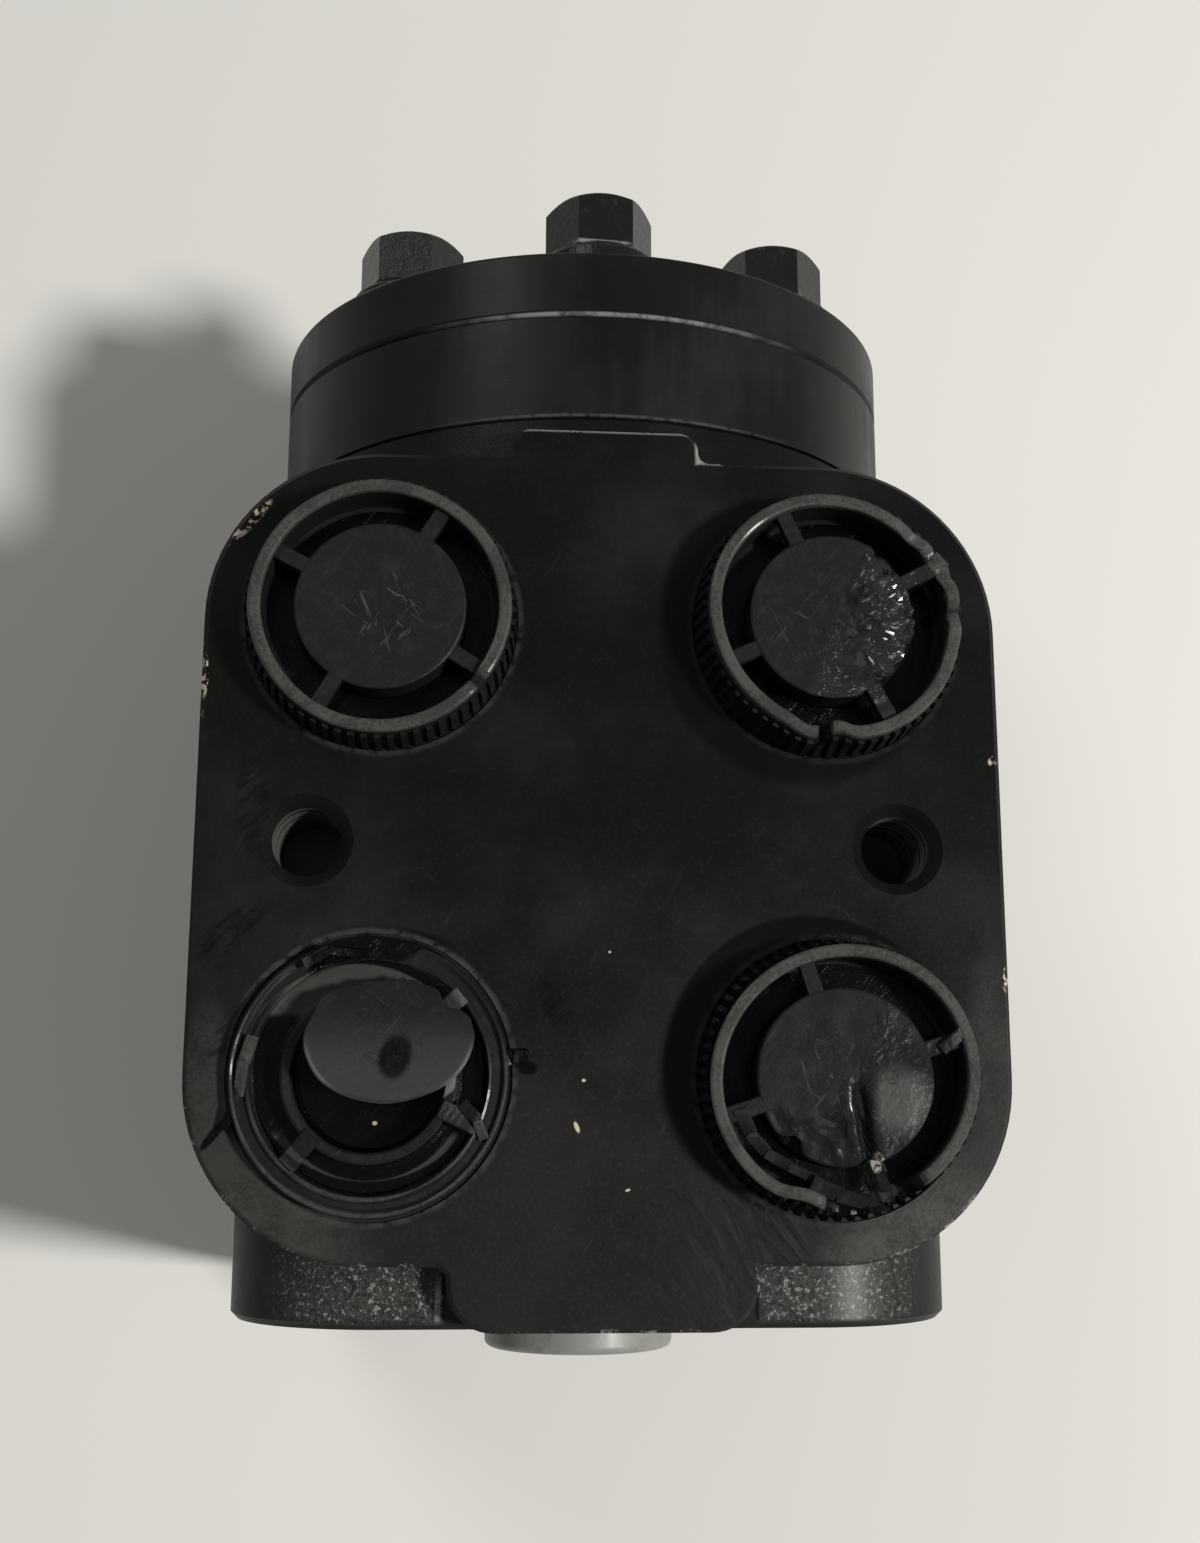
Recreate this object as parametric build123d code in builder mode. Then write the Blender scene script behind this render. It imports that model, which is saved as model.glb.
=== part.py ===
from build123d import *
import cmath
import math
import os

# Orbital steering unit, lying on its back with the port face up.
# Millimetres. The steering shaft turns about Y. The column is bolted on at y = 0 and
# the gear set is at the +Y end. The port face is the horizontal face on top.

# ---- Clearances -------------------------------------------------------------------
running_fit = 0.05            # radial gap of a part that turns in a bore
end_float = 0.05              # gap beside a gear that turns between two faces
side_gap = 0.3                # free gap between pieces that move past each other
thread_fit = 0.1              # radial gap of a threaded piece in its hole
screw_hole_fit = 0.3          # radial gap of a screw in a plain hole
same_place = 0.01             # two points closer than this are the same corner

# ---- Port block and housing -------------------------------------------------------
body_radius = 44.0
port_face_rise = 4.0          # of the port face above the round body
port_spacing_x = 56.0
port_corner_radius = 22.0     # the block's corners run round the ports
block_column_margin = 7.5     # from the column face to the block's corners
block_gear_margin = 6.9       # from the gear face to the block's corners
block_straight_depth = 26.0   # straight sides below the port face
block_taper_depth = 14.0
block_taper_angle = 24.0
block_edge_chamfer = 0.6
housing_length = 114.8
gear_end_step = 1.5           # of the gear end outside the round body
gear_end_length = 12.0
gear_end_chamfer = 0.5
flange_half_width = 46.0
flange_top = 43.5
flange_bottom = 45.5          # below the shaft axis
flange_thickness = 16.0
flange_corner_radius = 20.0
flange_edge_chamfer = 0.8
gear_tongue_width = 24.0
gear_tongue_setback = 2.9     # from the gear face to the tongue's end
gear_tongue_radius = 2.5
column_tongue_width = 37.0
column_tongue_radius = 5.6
tongue_root_radius = 1.5

# ---- Ports and threaded holes -----------------------------------------------------
port_thread_radius = 10.48    # G 1/2
port_thread_depth = 16.0
port_spot_radius = 17.0
port_spot_depth = 0.4
port_drill_radius = 5.0
port_drill_depth = 30.0       # below the port face
passage_radius = 3.5
passage_reach = 21.0
m10_core_radius = 4.25
m10_chamfer = 1.5
valve_hole_spacing = 73.0     # the two M10 holes in the port face
valve_hole_depth = 16.0
column_hole_spacing = 58.4    # four M10 holes in the column flange
column_hole_depth = 15.0

# ---- Bores along the shaft --------------------------------------------------------
main_bore_floor = 16.0
sleeve_radius = 22.0
oil_groove_depth = 2.4
oil_groove_width = 5.0
tank_groove_start = 37.5
pump_groove_start = 55.5
oil_groove_pitch = 12.0       # from the pump's groove to the next two
dust_seal_radius = 18.0
dust_seal_depth = 5.0
dust_seal_inset = 0.4
shaft_seal_radius = 17.5
shaft_seal_start = 8.5
shaft_seal_width = 4.0

# ---- Gear set ---------------------------------------------------------------------
plate_thickness = 3.5
ring_width = 10.4
cover_thickness = 9.5
cover_chamfer = 1.1
cover_edge_radius = 0.6
ring_lobes = 7
lobe_circle_inset = 11.64     # of the lobe and screw circle from the gear set's edge
lobe_radius = 9.35
eccentricity = 3.3
gear_tip_gap = 0.06
ring_root_gap = 0.25
ring_root_fillet = 2.0
rotor_points_per_tooth = 14
plate_bore_radius = 12.5
plate_port_radius = 2.2
plate_port_circle = 28.0

# ---- Spline between cardan shaft and rotor ----------------------------------------
spline_teeth = 12
spline_root_radius = 9.0
spline_tip_radius = 10.5
spline_tooth_width = 2.0
spline_side_gap = 0.4
spline_radial_gap = 0.5

# ---- Cover screws and washers -----------------------------------------------------
screw_shank_radius = 3.95     # M8
screw_thread_depth = 18.0
screw_hole_run_out = 2.0
washer_radius = 8.2
washer_thickness = 1.4
screw_flange_radius = 7.9
screw_flange_thickness = 1.7
screw_flange_taper = 30.0
screw_head_flats = 13.0
screw_head_height = 9.6
screw_head_chamfer = 0.7
screw_head_turn = 19.0        # each head stands a little further round than the last
first_head_turn = 6.0

# ---- Check valve behind one cover screw -------------------------------------------
valve_index = 1
ball_stop_radius = 5.0
ball_stop_length = 10.0
ball_stop_inset = 0.8
pin_screw_depth = 5.0
rolled_pin_radius = 2.4
rolled_pin_bore = 1.2
rolled_pin_length = 8.0
rolled_pin_drop = 1.5         # how far the pin stands out below the stop
ball_radius = 4.25
ball_lift = 1.5
ball_bore_gap = 0.3
ball_seat_radius = 3.2

# ---- O-rings ----------------------------------------------------------------------
o_ring_radius = 0.9
o_ring_groove_width = 2.0
o_ring_inset = 4.2            # of the O-rings' circle from the gear set's edge

# ---- Sleeve, spool and what joins them --------------------------------------------
spool_radius = 17.0
spool_bore_radius = 12.0
spool_bore_start = 37.0
spool_neck_radius = 14.0
spool_neck_start = 1.8
sleeve_end_gap = 0.5
spool_end_gap = 1.5
sleeve_hole_radius = 1.6
sleeve_hole_count = 6
spool_groove_count = 6
spool_groove_width = 3.0
spool_groove_depth = 1.4
spool_groove_start = 60.0
spool_groove_length = 24.0
spool_waist_place = 96.0
socket_depth = 20.0
socket_major_radius = 10.3
socket_minor_radius = 8.75
socket_groove_width = 2.6
pin_radius = 4.0
pin_place = 52.0
pin_end_inset = 0.2
spool_turn = 10.0             # degrees each way against the sleeve

# ---- Centring springs -------------------------------------------------------------
leaf_thickness = 0.7
leaf_width = 6.0
leaf_gap = 0.05
leaf_sag = 1.3
leaf_slot_gap = 0.2
leaf_place = 29.5
spring_ring_wall = 1.4
spring_ring_end = 35.0

# ---- Thrust bearing ---------------------------------------------------------------
race_inner_radius = 14.6
race_outer_radius = 21.4
outer_race_thickness = 2.3
inner_race_thickness = 1.2
needle_radius = 0.8
needle_length = 4.6
needle_count = 16
needle_circle_radius = 18.0
cage_thickness = 1.0
cage_edge = 0.5

# ---- Cardan shaft -----------------------------------------------------------------
cardan_fork_radius = 10.5
cardan_fork_length = 16.0
cardan_fork_overhang = 8.0    # from the pin's axis to the fork's tip
cardan_slot_gap = 0.8         # room behind the pin for the shaft's lean
cardan_shank_radius = 7.5
cardan_neck_length = 5.0
cardan_head_length = 5.8
cardan_head_setback = 0.6     # from the gear ring's face to the head
spacer_thickness = 3.0
spacer_radius = 9.1

# ---- Shipping plugs ---------------------------------------------------------------
plug_rim_radius = 16.4
plug_rim_taper = 4.0
plug_rim_height = 7.0
plug_rim_wall = 2.2
plug_floor_thickness = 1.2
plug_rib_count = 64
plug_rib_width = 0.75
plug_rib_depth = 0.45
plug_rib_height = 5.6
plug_stem_length = 9.0
plug_stem_wall = 1.5
plug_disc_radius = 10.5
plug_disc_thickness = 1.2
plug_disc_inset = 0.8         # below the rim's top
plug_spoke_width = 2.0
plug_spoke_thickness = 1.4
plug_floor_gap = 0.05
broken_rim_height = 1.6
broken_stem_height = 3.0
torn_disc_tilt = 14.0
torn_disc_shift = 5.0
torn_disc_lift = 1.0          # of its middle above the broken stem
rim_gap_start = 262.0
rim_gap_angle = 42.0
shaft_plug_radius = 13.3
shaft_plug_head = 6.6
shaft_plug_wall = 1.8
shaft_plug_stem_length = 13.0
shaft_plug_edge = 1.0

# ---- Places worked out from the sizes above ---------------------------------------
port_face_height = body_radius + port_face_rise
gear_end_radius = body_radius + gear_end_step
lobe_circle_radius = gear_end_radius - lobe_circle_inset
o_ring_circle = gear_end_radius - o_ring_inset
block_length = housing_length - block_column_margin - block_gear_margin
port_spacing_y = block_length - 2 * port_corner_radius
port_centre_y = block_column_margin + block_length / 2
gear_tongue_end = housing_length - gear_tongue_setback
plate_start = housing_length
ring_start = plate_start + plate_thickness
cover_start = ring_start + ring_width
cover_end = cover_start + cover_thickness
washer_end = cover_end + washer_thickness
block_half_width = port_spacing_x / 2 + port_corner_radius
block_half_length = block_length / 2
block_floor = port_face_height - block_straight_depth
ring_cavity_radius = lobe_circle_radius - lobe_radius + 2 * eccentricity + ring_root_gap
main_bore_radius = sleeve_radius + running_fit
neck_bore_radius = spool_neck_radius + running_fit
screw_hole_radius = screw_shank_radius + screw_hole_fit
screw_thread_radius = screw_shank_radius + thread_fit
ball_bore_radius = ball_radius + ball_bore_gap
ball_stop_end = housing_length - ball_stop_inset
ball_stop_start = ball_stop_end - ball_stop_length
rolled_pin_start = ball_stop_start - rolled_pin_drop
ball_top = rolled_pin_start - ball_lift
ball_centre = ball_top - ball_radius
ball_seat = ball_centre - math.sqrt(ball_radius**2 - ball_seat_radius**2)
outer_race_end = main_bore_floor + outer_race_thickness
needle_place = outer_race_end + side_gap + needle_radius
inner_race_start = needle_place + needle_radius + side_gap
sleeve_start = inner_race_start + inner_race_thickness
spool_start = sleeve_start + side_gap
sleeve_end = housing_length - sleeve_end_gap
spool_end = housing_length - spool_end_gap
sleeve_bore_radius = spool_radius + running_fit
leaf_pack_half = (3 * leaf_thickness + 2.5 * leaf_gap) + leaf_sag
leaf_slot_half = leaf_pack_half + leaf_slot_gap
leaf_slot_width = leaf_width + 2 * leaf_slot_gap
spring_ring_outer = sleeve_radius
spring_ring_inner = sleeve_radius - spring_ring_wall
sleeve_nose_radius = spring_ring_inner - running_fit
leaf_half_length = math.sqrt(sleeve_nose_radius**2 - leaf_pack_half**2) - leaf_slot_gap
pin_half_length = math.sqrt(sleeve_radius**2 - pin_radius**2) - pin_end_inset
cardan_head_middle = ring_start + cardan_head_setback + cardan_head_length / 2
cardan_reach = cardan_head_middle - pin_place
cardan_tilt = math.degrees(math.atan2(eccentricity, cardan_reach))
cardan_length = cardan_reach / math.cos(math.radians(cardan_tilt))
spacer_end = cover_start - end_float
spacer_start = spacer_end - spacer_thickness
plug_floor = port_face_height - port_spot_depth + plug_floor_gap
port_places = {
    "gear_left": (-port_spacing_x / 2, port_centre_y + port_spacing_y / 2),
    "gear_right": (port_spacing_x / 2, port_centre_y + port_spacing_y / 2),
    "column_left": (-port_spacing_x / 2, port_centre_y - port_spacing_y / 2),
    "column_right": (port_spacing_x / 2, port_centre_y - port_spacing_y / 2),
}
oil_groove_starts = {
    "column_left": tank_groove_start,
    "column_right": pump_groove_start,
    "gear_right": pump_groove_start + oil_groove_pitch,
    "gear_left": pump_groove_start + 2 * oil_groove_pitch,
}


def section(y):
    """The plane across the shaft at y, with local x along X and local y along Z."""
    return Plane.XZ.offset(-y)


def screw_centre(index):
    """Place of a cover screw across the shaft, counted round from the top."""
    angle = 2 * math.pi * index / ring_lobes
    return (lobe_circle_radius * math.sin(angle), lobe_circle_radius * math.cos(angle))


def rotor_point(angle):
    """A point of the rotor's outline, which keeps the lobe radius off a trochoid."""
    trochoid = lobe_circle_radius * cmath.exp(1j * angle)
    trochoid -= eccentricity * cmath.exp(1j * ring_lobes * angle)
    heading = 1j * lobe_circle_radius * cmath.exp(1j * angle)
    heading -= 1j * ring_lobes * eccentricity * cmath.exp(1j * ring_lobes * angle)
    inward = 1j * heading / abs(heading)
    point = trochoid + (lobe_radius + gear_tip_gap) * inward
    return (point.imag, point.real + eccentricity)


def save(part, name):
    part.label = name
    export_step(part, f"parts/{name}.step")


os.makedirs("parts", exist_ok=True)
screw_centres = [screw_centre(index) for index in range(ring_lobes)]
plain_screws = [index for index in range(ring_lobes) if index != valve_index]
valve_centre = screw_centres[valve_index]

# ---- Housing ----------------------------------------------------------------------
with BuildPart() as housing:
    # Round body with the column flange at one end and the gear flange at the other.
    with BuildSketch(section(2 * flange_edge_chamfer)):
        Circle(body_radius)
    extrude(amount=-(housing_length - gear_end_chamfer - 2 * flange_edge_chamfer))
    with BuildSketch(section(0)):
        with Locations((0, (flange_top - flange_bottom) / 2)):
            RectangleRounded(2 * flange_half_width, flange_top + flange_bottom, flange_corner_radius)
    extrude(amount=-flange_thickness)
    chamfer(housing.edges().group_by(Axis.Y)[0], flange_edge_chamfer)
    with BuildSketch(section(housing_length - gear_end_length)):
        Circle(gear_end_radius)
    extrude(amount=-gear_end_length)
    chamfer(housing.edges().group_by(Axis.Y)[-1], gear_end_chamfer)
    # Port block: its corners are round about the ports, and a tongue runs out at each end.
    with BuildSketch(Plane.XY.offset(port_face_height)) as block_face:
        with Locations((0, port_centre_y)):
            RectangleRounded(2 * block_half_width, 2 * block_half_length, port_corner_radius)
        with Locations((0, gear_tongue_end / 2 + port_centre_y / 2)):
            Rectangle(gear_tongue_width, gear_tongue_end - port_centre_y)
        with Locations((0, port_centre_y / 2)):
            Rectangle(column_tongue_width, port_centre_y)
        roots = [corner for corner in block_face.vertices()
                 if abs(abs(corner.Y - port_centre_y) - block_half_length) < same_place
                 and abs(corner.X) < column_tongue_width / 2 + same_place]
        fillet(roots, tongue_root_radius)
        fillet(block_face.vertices().group_by(Axis.Y)[-1], gear_tongue_radius)
        fillet(block_face.vertices().group_by(Axis.Y)[0], column_tongue_radius)
    extrude(amount=-block_straight_depth)
    chamfer(housing.faces().sort_by(Axis.Z)[-1].edges(), block_edge_chamfer)
    with BuildSketch(Plane.XY.offset(block_floor)):
        with Locations((0, port_centre_y)):
            RectangleRounded(2 * block_half_width, 2 * block_half_length, port_corner_radius)
    extrude(amount=-block_taper_depth, taper=block_taper_angle)
    # Bores along the shaft, with the seal seats and the oil grooves.
    with BuildSketch(Plane.XY):
        with BuildLine():
            Polyline(
                (0, 0), (dust_seal_radius, 0), (dust_seal_radius, dust_seal_depth),
                (neck_bore_radius, dust_seal_depth), (neck_bore_radius, shaft_seal_start),
                (shaft_seal_radius, shaft_seal_start),
                (shaft_seal_radius, shaft_seal_start + shaft_seal_width),
                (neck_bore_radius, shaft_seal_start + shaft_seal_width),
                (neck_bore_radius, main_bore_floor), (main_bore_radius, main_bore_floor),
                (main_bore_radius, housing_length), (0, housing_length), close=True,
            )
        make_face()
    revolve(axis=Axis.Y, mode=Mode.SUBTRACT)
    for start in oil_groove_starts.values():
        with BuildSketch(section(start)):
            Circle(main_bore_radius + oil_groove_depth)
        extrude(amount=-oil_groove_width, mode=Mode.SUBTRACT)
    # Ports: spot face, thread, drilling and a slanted passage to an oil groove.
    for name, (x, y) in port_places.items():
        with BuildSketch(Plane.XY.offset(port_face_height)):
            with Locations((x, y)):
                Circle(port_spot_radius)
        extrude(amount=-port_spot_depth, mode=Mode.SUBTRACT)
        with BuildSketch(Plane.XY.offset(port_face_height)):
            with Locations((x, y)):
                Circle(port_thread_radius)
        extrude(amount=-port_thread_depth, mode=Mode.SUBTRACT)
        with BuildSketch(Plane.XY.offset(port_face_height)):
            with Locations((x, y)):
                Circle(port_drill_radius)
        extrude(amount=-port_drill_depth, mode=Mode.SUBTRACT)
        drill_end = Vector(x, y, port_face_height - port_drill_depth + port_drill_radius)
        groove = Vector(0, oil_groove_starts[name] + oil_groove_width / 2, 0)
        with BuildSketch(Plane(origin=drill_end, z_dir=groove - drill_end)):
            Circle(passage_radius)
        extrude(amount=passage_reach, mode=Mode.SUBTRACT)
    # Threaded holes of the port face and of the column flange.
    with Locations(Plane.XY.offset(port_face_height)):
        with Locations((-valve_hole_spacing / 2, port_centre_y), (valve_hole_spacing / 2, port_centre_y)):
            Hole(m10_core_radius, valve_hole_depth)
            CounterSinkHole(m10_core_radius, m10_core_radius + m10_chamfer, valve_hole_depth, 90)
    with BuildSketch(section(0)):
        with GridLocations(column_hole_spacing, column_hole_spacing, 2, 2):
            Circle(m10_core_radius)
    extrude(amount=-column_hole_depth, mode=Mode.SUBTRACT)
    # Screw holes, and the deeper hole that holds the check valve.
    with BuildSketch(section(housing_length)):
        with Locations(*[screw_centres[index] for index in plain_screws]):
            Circle(screw_thread_radius)
    extrude(amount=screw_thread_depth + screw_hole_run_out, mode=Mode.SUBTRACT)
    with BuildSketch(section(housing_length)):
        with Locations(valve_centre):
            Circle(ball_stop_radius + thread_fit)
    extrude(amount=housing_length - ball_stop_start, mode=Mode.SUBTRACT)
    with BuildSketch(section(ball_stop_start)):
        with Locations(valve_centre):
            Circle(ball_bore_radius)
    extrude(amount=ball_stop_start - ball_seat, mode=Mode.SUBTRACT)
    with BuildSketch(section(ball_seat)):
        with Locations(valve_centre):
            Circle(ball_seat_radius)
    extrude(amount=ball_seat - port_places["gear_right"][1], mode=Mode.SUBTRACT)
    # Groove for the O-ring under the distributor plate.
    with BuildSketch(section(housing_length)):
        Circle(o_ring_circle + o_ring_groove_width / 2)
        Circle(o_ring_circle - o_ring_groove_width / 2, mode=Mode.SUBTRACT)
    extrude(amount=2 * o_ring_radius, mode=Mode.SUBTRACT)
save(housing.part, "housing")

# ---- Distributor plate ------------------------------------------------------------
with BuildPart() as distributor_plate:
    with BuildSketch(section(plate_start)):
        Circle(gear_end_radius)
        Circle(plate_bore_radius, mode=Mode.SUBTRACT)
        with Locations(*screw_centres):
            Circle(screw_hole_radius, mode=Mode.SUBTRACT)
        with PolarLocations(plate_port_circle, ring_lobes, start_angle=90 + 180 / ring_lobes):
            Circle(plate_port_radius, mode=Mode.SUBTRACT)
    extrude(amount=-plate_thickness)
    with BuildSketch(section(ring_start)):
        Circle(o_ring_circle + o_ring_groove_width / 2)
        Circle(o_ring_circle - o_ring_groove_width / 2, mode=Mode.SUBTRACT)
    extrude(amount=2 * o_ring_radius, mode=Mode.SUBTRACT)
save(distributor_plate.part, "distributor_plate")

# ---- Gear ring with seven inner lobes ---------------------------------------------
with BuildPart() as gear_ring:
    with BuildSketch(section(ring_start)) as ring_outline:
        Circle(gear_end_radius)
        Circle(ring_cavity_radius, mode=Mode.SUBTRACT)
        with Locations(*screw_centres):
            Circle(lobe_radius)
        roots = [corner for corner in ring_outline.vertices()
                 if abs(Vector(corner).length - ring_cavity_radius) < same_place]
        fillet(roots, ring_root_fillet)
        with Locations(*screw_centres):
            Circle(screw_hole_radius, mode=Mode.SUBTRACT)
    extrude(amount=-ring_width)
save(gear_ring.part, "gear_ring")

# ---- Rotor: six teeth outside, spline inside --------------------------------------
rotor_teeth = ring_lobes - 1
tooth_angle = 2 * math.pi / rotor_teeth
with BuildPart() as gear_rotor:
    with BuildSketch(section(ring_start + end_float)):
        with BuildLine():
            for tooth in range(rotor_teeth):
                steps = [tooth + step / rotor_points_per_tooth for step in range(rotor_points_per_tooth + 1)]
                ends = [(math.cos(root * tooth_angle), -math.sin(root * tooth_angle))
                        for root in (tooth, tooth + 1)]
                Spline(*[rotor_point(step * tooth_angle) for step in steps], tangents=ends)
        make_face()
        with Locations((0, eccentricity)):
            Circle(spline_root_radius + spline_radial_gap, mode=Mode.SUBTRACT)
            with PolarLocations(spline_tip_radius / 2 + spline_radial_gap / 2, spline_teeth):
                Rectangle(spline_tip_radius + spline_radial_gap,
                          spline_tooth_width + 2 * spline_side_gap, mode=Mode.SUBTRACT)
    extrude(amount=-(ring_width - 2 * end_float))
save(gear_rotor.part, "gear_rotor")

# ---- Spacer in the rotor's bore ---------------------------------------------------
with BuildPart() as rotor_spacer:
    with BuildSketch(section(spacer_start)):
        with Locations((0, eccentricity)):
            Circle(spacer_radius)
    extrude(amount=-spacer_thickness)
save(rotor_spacer.part, "rotor_spacer")

# ---- End cover --------------------------------------------------------------------
with BuildPart() as end_cover:
    with BuildSketch(section(cover_start)):
        Circle(gear_end_radius)
    extrude(amount=-cover_thickness)
    rims = end_cover.edges().filter_by(GeomType.CIRCLE).sort_by(Axis.Y)
    chamfer(rims[0], cover_chamfer)
    fillet(rims[-1], cover_edge_radius)
    with BuildSketch(section(cover_start)):
        with Locations(*screw_centres):
            Circle(screw_hole_radius)
    extrude(amount=-cover_thickness, mode=Mode.SUBTRACT)
    with BuildSketch(section(cover_start)):
        Circle(o_ring_circle + o_ring_groove_width / 2)
        Circle(o_ring_circle - o_ring_groove_width / 2, mode=Mode.SUBTRACT)
    extrude(amount=-2 * o_ring_radius, mode=Mode.SUBTRACT)
save(end_cover.part, "end_cover")

# ---- Washers ----------------------------------------------------------------------
with BuildPart() as screw_washers:
    with BuildSketch(section(cover_end)):
        with Locations(*screw_centres):
            Circle(washer_radius)
            Circle(screw_hole_radius, mode=Mode.SUBTRACT)
    extrude(amount=-washer_thickness)
save(screw_washers.part, "screw_washers")


# ---- Cover screws -----------------------------------------------------------------
def cover_screw(index, tip):
    """One hexagon screw with a conical flange, from its tip to the top of its head."""
    centre = screw_centres[index]
    turn = first_head_turn + screw_head_turn * index
    with BuildPart() as screw:
        with BuildSketch(section(washer_end + screw_flange_thickness)):
            with Locations(centre):
                RegularPolygon(screw_head_flats / 2, 6, major_radius=False, rotation=turn)
        extrude(amount=-(screw_head_height - screw_flange_thickness))
        chamfer(screw.faces().sort_by(Axis.Y)[-1].edges(), screw_head_chamfer)
        with BuildSketch(section(washer_end)):
            with Locations(centre):
                Circle(screw_flange_radius)
        extrude(amount=-screw_flange_thickness, taper=screw_flange_taper)
        with BuildSketch(section(tip)):
            with Locations(centre):
                Circle(screw_shank_radius)
        extrude(amount=-(washer_end - tip))
    return screw.part


plain_screw_tip = housing_length - screw_thread_depth
save(Compound([cover_screw(index, plain_screw_tip) for index in plain_screws]), "cover_screws")
save(cover_screw(valve_index, ball_stop_end - pin_screw_depth + side_gap), "pin_screw")

# ---- Check valve: threaded stop, rolled pin and ball ------------------------------
with BuildPart() as ball_stop:
    with BuildSketch(section(ball_stop_start)):
        with Locations(valve_centre):
            Circle(ball_stop_radius)
            Circle(rolled_pin_radius, mode=Mode.SUBTRACT)
    extrude(amount=-ball_stop_length)
    with BuildSketch(section(ball_stop_end)):
        with Locations(valve_centre):
            Circle(screw_thread_radius)
    extrude(amount=pin_screw_depth, mode=Mode.SUBTRACT)
save(ball_stop.part, "ball_stop")

with BuildPart() as rolled_pin:
    with BuildSketch(section(rolled_pin_start)):
        with Locations(valve_centre):
            Circle(rolled_pin_radius)
            Circle(rolled_pin_bore, mode=Mode.SUBTRACT)
    extrude(amount=-(ball_stop_end - pin_screw_depth - rolled_pin_start))
save(rolled_pin.part, "rolled_pin")

with BuildPart() as check_ball:
    with Locations((valve_centre[0], ball_centre, valve_centre[1])):
        Sphere(ball_radius)
save(check_ball.part, "check_ball")


# ---- O-rings ----------------------------------------------------------------------
def o_ring(middle):
    with BuildPart() as ring:
        with BuildSketch(Plane.XY):
            with Locations((o_ring_circle, middle)):
                Circle(o_ring_radius)
        revolve(axis=Axis.Y)
    return ring.part


save(o_ring(housing_length - o_ring_radius), "housing_o_ring")
save(o_ring(ring_start - o_ring_radius), "plate_o_ring")
save(o_ring(cover_start + o_ring_radius), "cover_o_ring")

# ---- Seals at the column end ------------------------------------------------------
with BuildPart() as dust_seal:
    with BuildSketch(section(dust_seal_inset)):
        Circle(dust_seal_radius)
        Circle(neck_bore_radius, mode=Mode.SUBTRACT)
    extrude(amount=-(dust_seal_depth - dust_seal_inset))
save(dust_seal.part, "dust_seal")

with BuildPart() as shaft_seal:
    with BuildSketch(section(shaft_seal_start)):
        Circle(shaft_seal_radius)
        Circle(neck_bore_radius, mode=Mode.SUBTRACT)
    extrude(amount=-shaft_seal_width)
save(shaft_seal.part, "shaft_seal")

# ---- Thrust bearing ---------------------------------------------------------------
with BuildPart() as outer_race:
    with BuildSketch(section(main_bore_floor)):
        Circle(race_outer_radius)
        Circle(race_inner_radius, mode=Mode.SUBTRACT)
    extrude(amount=-outer_race_thickness)
save(outer_race.part, "outer_race")

with BuildPart() as inner_race:
    with BuildSketch(section(inner_race_start)):
        Circle(race_outer_radius)
        Circle(race_inner_radius, mode=Mode.SUBTRACT)
    extrude(amount=-inner_race_thickness)
save(inner_race.part, "inner_race")

with BuildPart() as needle_cage:
    with BuildSketch(section(needle_place - cage_thickness / 2)):
        Circle(race_outer_radius - cage_edge)
        Circle(race_inner_radius + cage_edge, mode=Mode.SUBTRACT)
        with PolarLocations(needle_circle_radius, needle_count):
            Rectangle(needle_length + 2 * running_fit, 2 * (needle_radius + running_fit), mode=Mode.SUBTRACT)
    extrude(amount=-cage_thickness)
save(needle_cage.part, "needle_cage")

with BuildPart() as thrust_needles:
    for index in range(needle_count):
        angle = 2 * math.pi * index / needle_count
        outward = Vector(math.cos(angle), 0, math.sin(angle))
        inner_end = outward * (needle_circle_radius - needle_length / 2) + Vector(0, needle_place, 0)
        with BuildSketch(Plane(origin=inner_end, z_dir=outward)):
            Circle(needle_radius)
        extrude(amount=needle_length)
save(thrust_needles.part, "thrust_needles")

# ---- Sleeve -----------------------------------------------------------------------
with BuildPart() as sleeve:
    with BuildSketch(section(sleeve_start)):
        Circle(sleeve_radius)
        Circle(sleeve_bore_radius, mode=Mode.SUBTRACT)
    extrude(amount=-(sleeve_end - sleeve_start))
    with BuildSketch(section(sleeve_start)):
        Circle(sleeve_radius)
        Circle(sleeve_nose_radius, mode=Mode.SUBTRACT)
    extrude(amount=-(spring_ring_end - sleeve_start), mode=Mode.SUBTRACT)
    # Slot for the springs along X, and holes for the cross pin along Z.
    with BuildSketch(Plane.YZ):
        with Locations((leaf_place, 0)):
            Rectangle(leaf_slot_width, 2 * leaf_slot_half)
    extrude(amount=sleeve_radius, both=True, mode=Mode.SUBTRACT)
    with BuildSketch(Plane.XY):
        with Locations((0, pin_place)):
            Circle(pin_radius + running_fit)
    extrude(amount=sleeve_radius, both=True, mode=Mode.SUBTRACT)
    # Rows of oil holes under the housing's grooves.
    for row, start in enumerate(list(oil_groove_starts.values())[1:]):
        place = start + oil_groove_width / 2
        for index in range(sleeve_hole_count):
            angle = math.pi * (2 * index + row % 2) / sleeve_hole_count
            with BuildSketch(Plane(origin=(0, place, 0), z_dir=(math.cos(angle), 0, math.sin(angle)))):
                Circle(sleeve_hole_radius)
            extrude(amount=sleeve_radius, mode=Mode.SUBTRACT)
save(sleeve.part, "sleeve")

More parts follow.
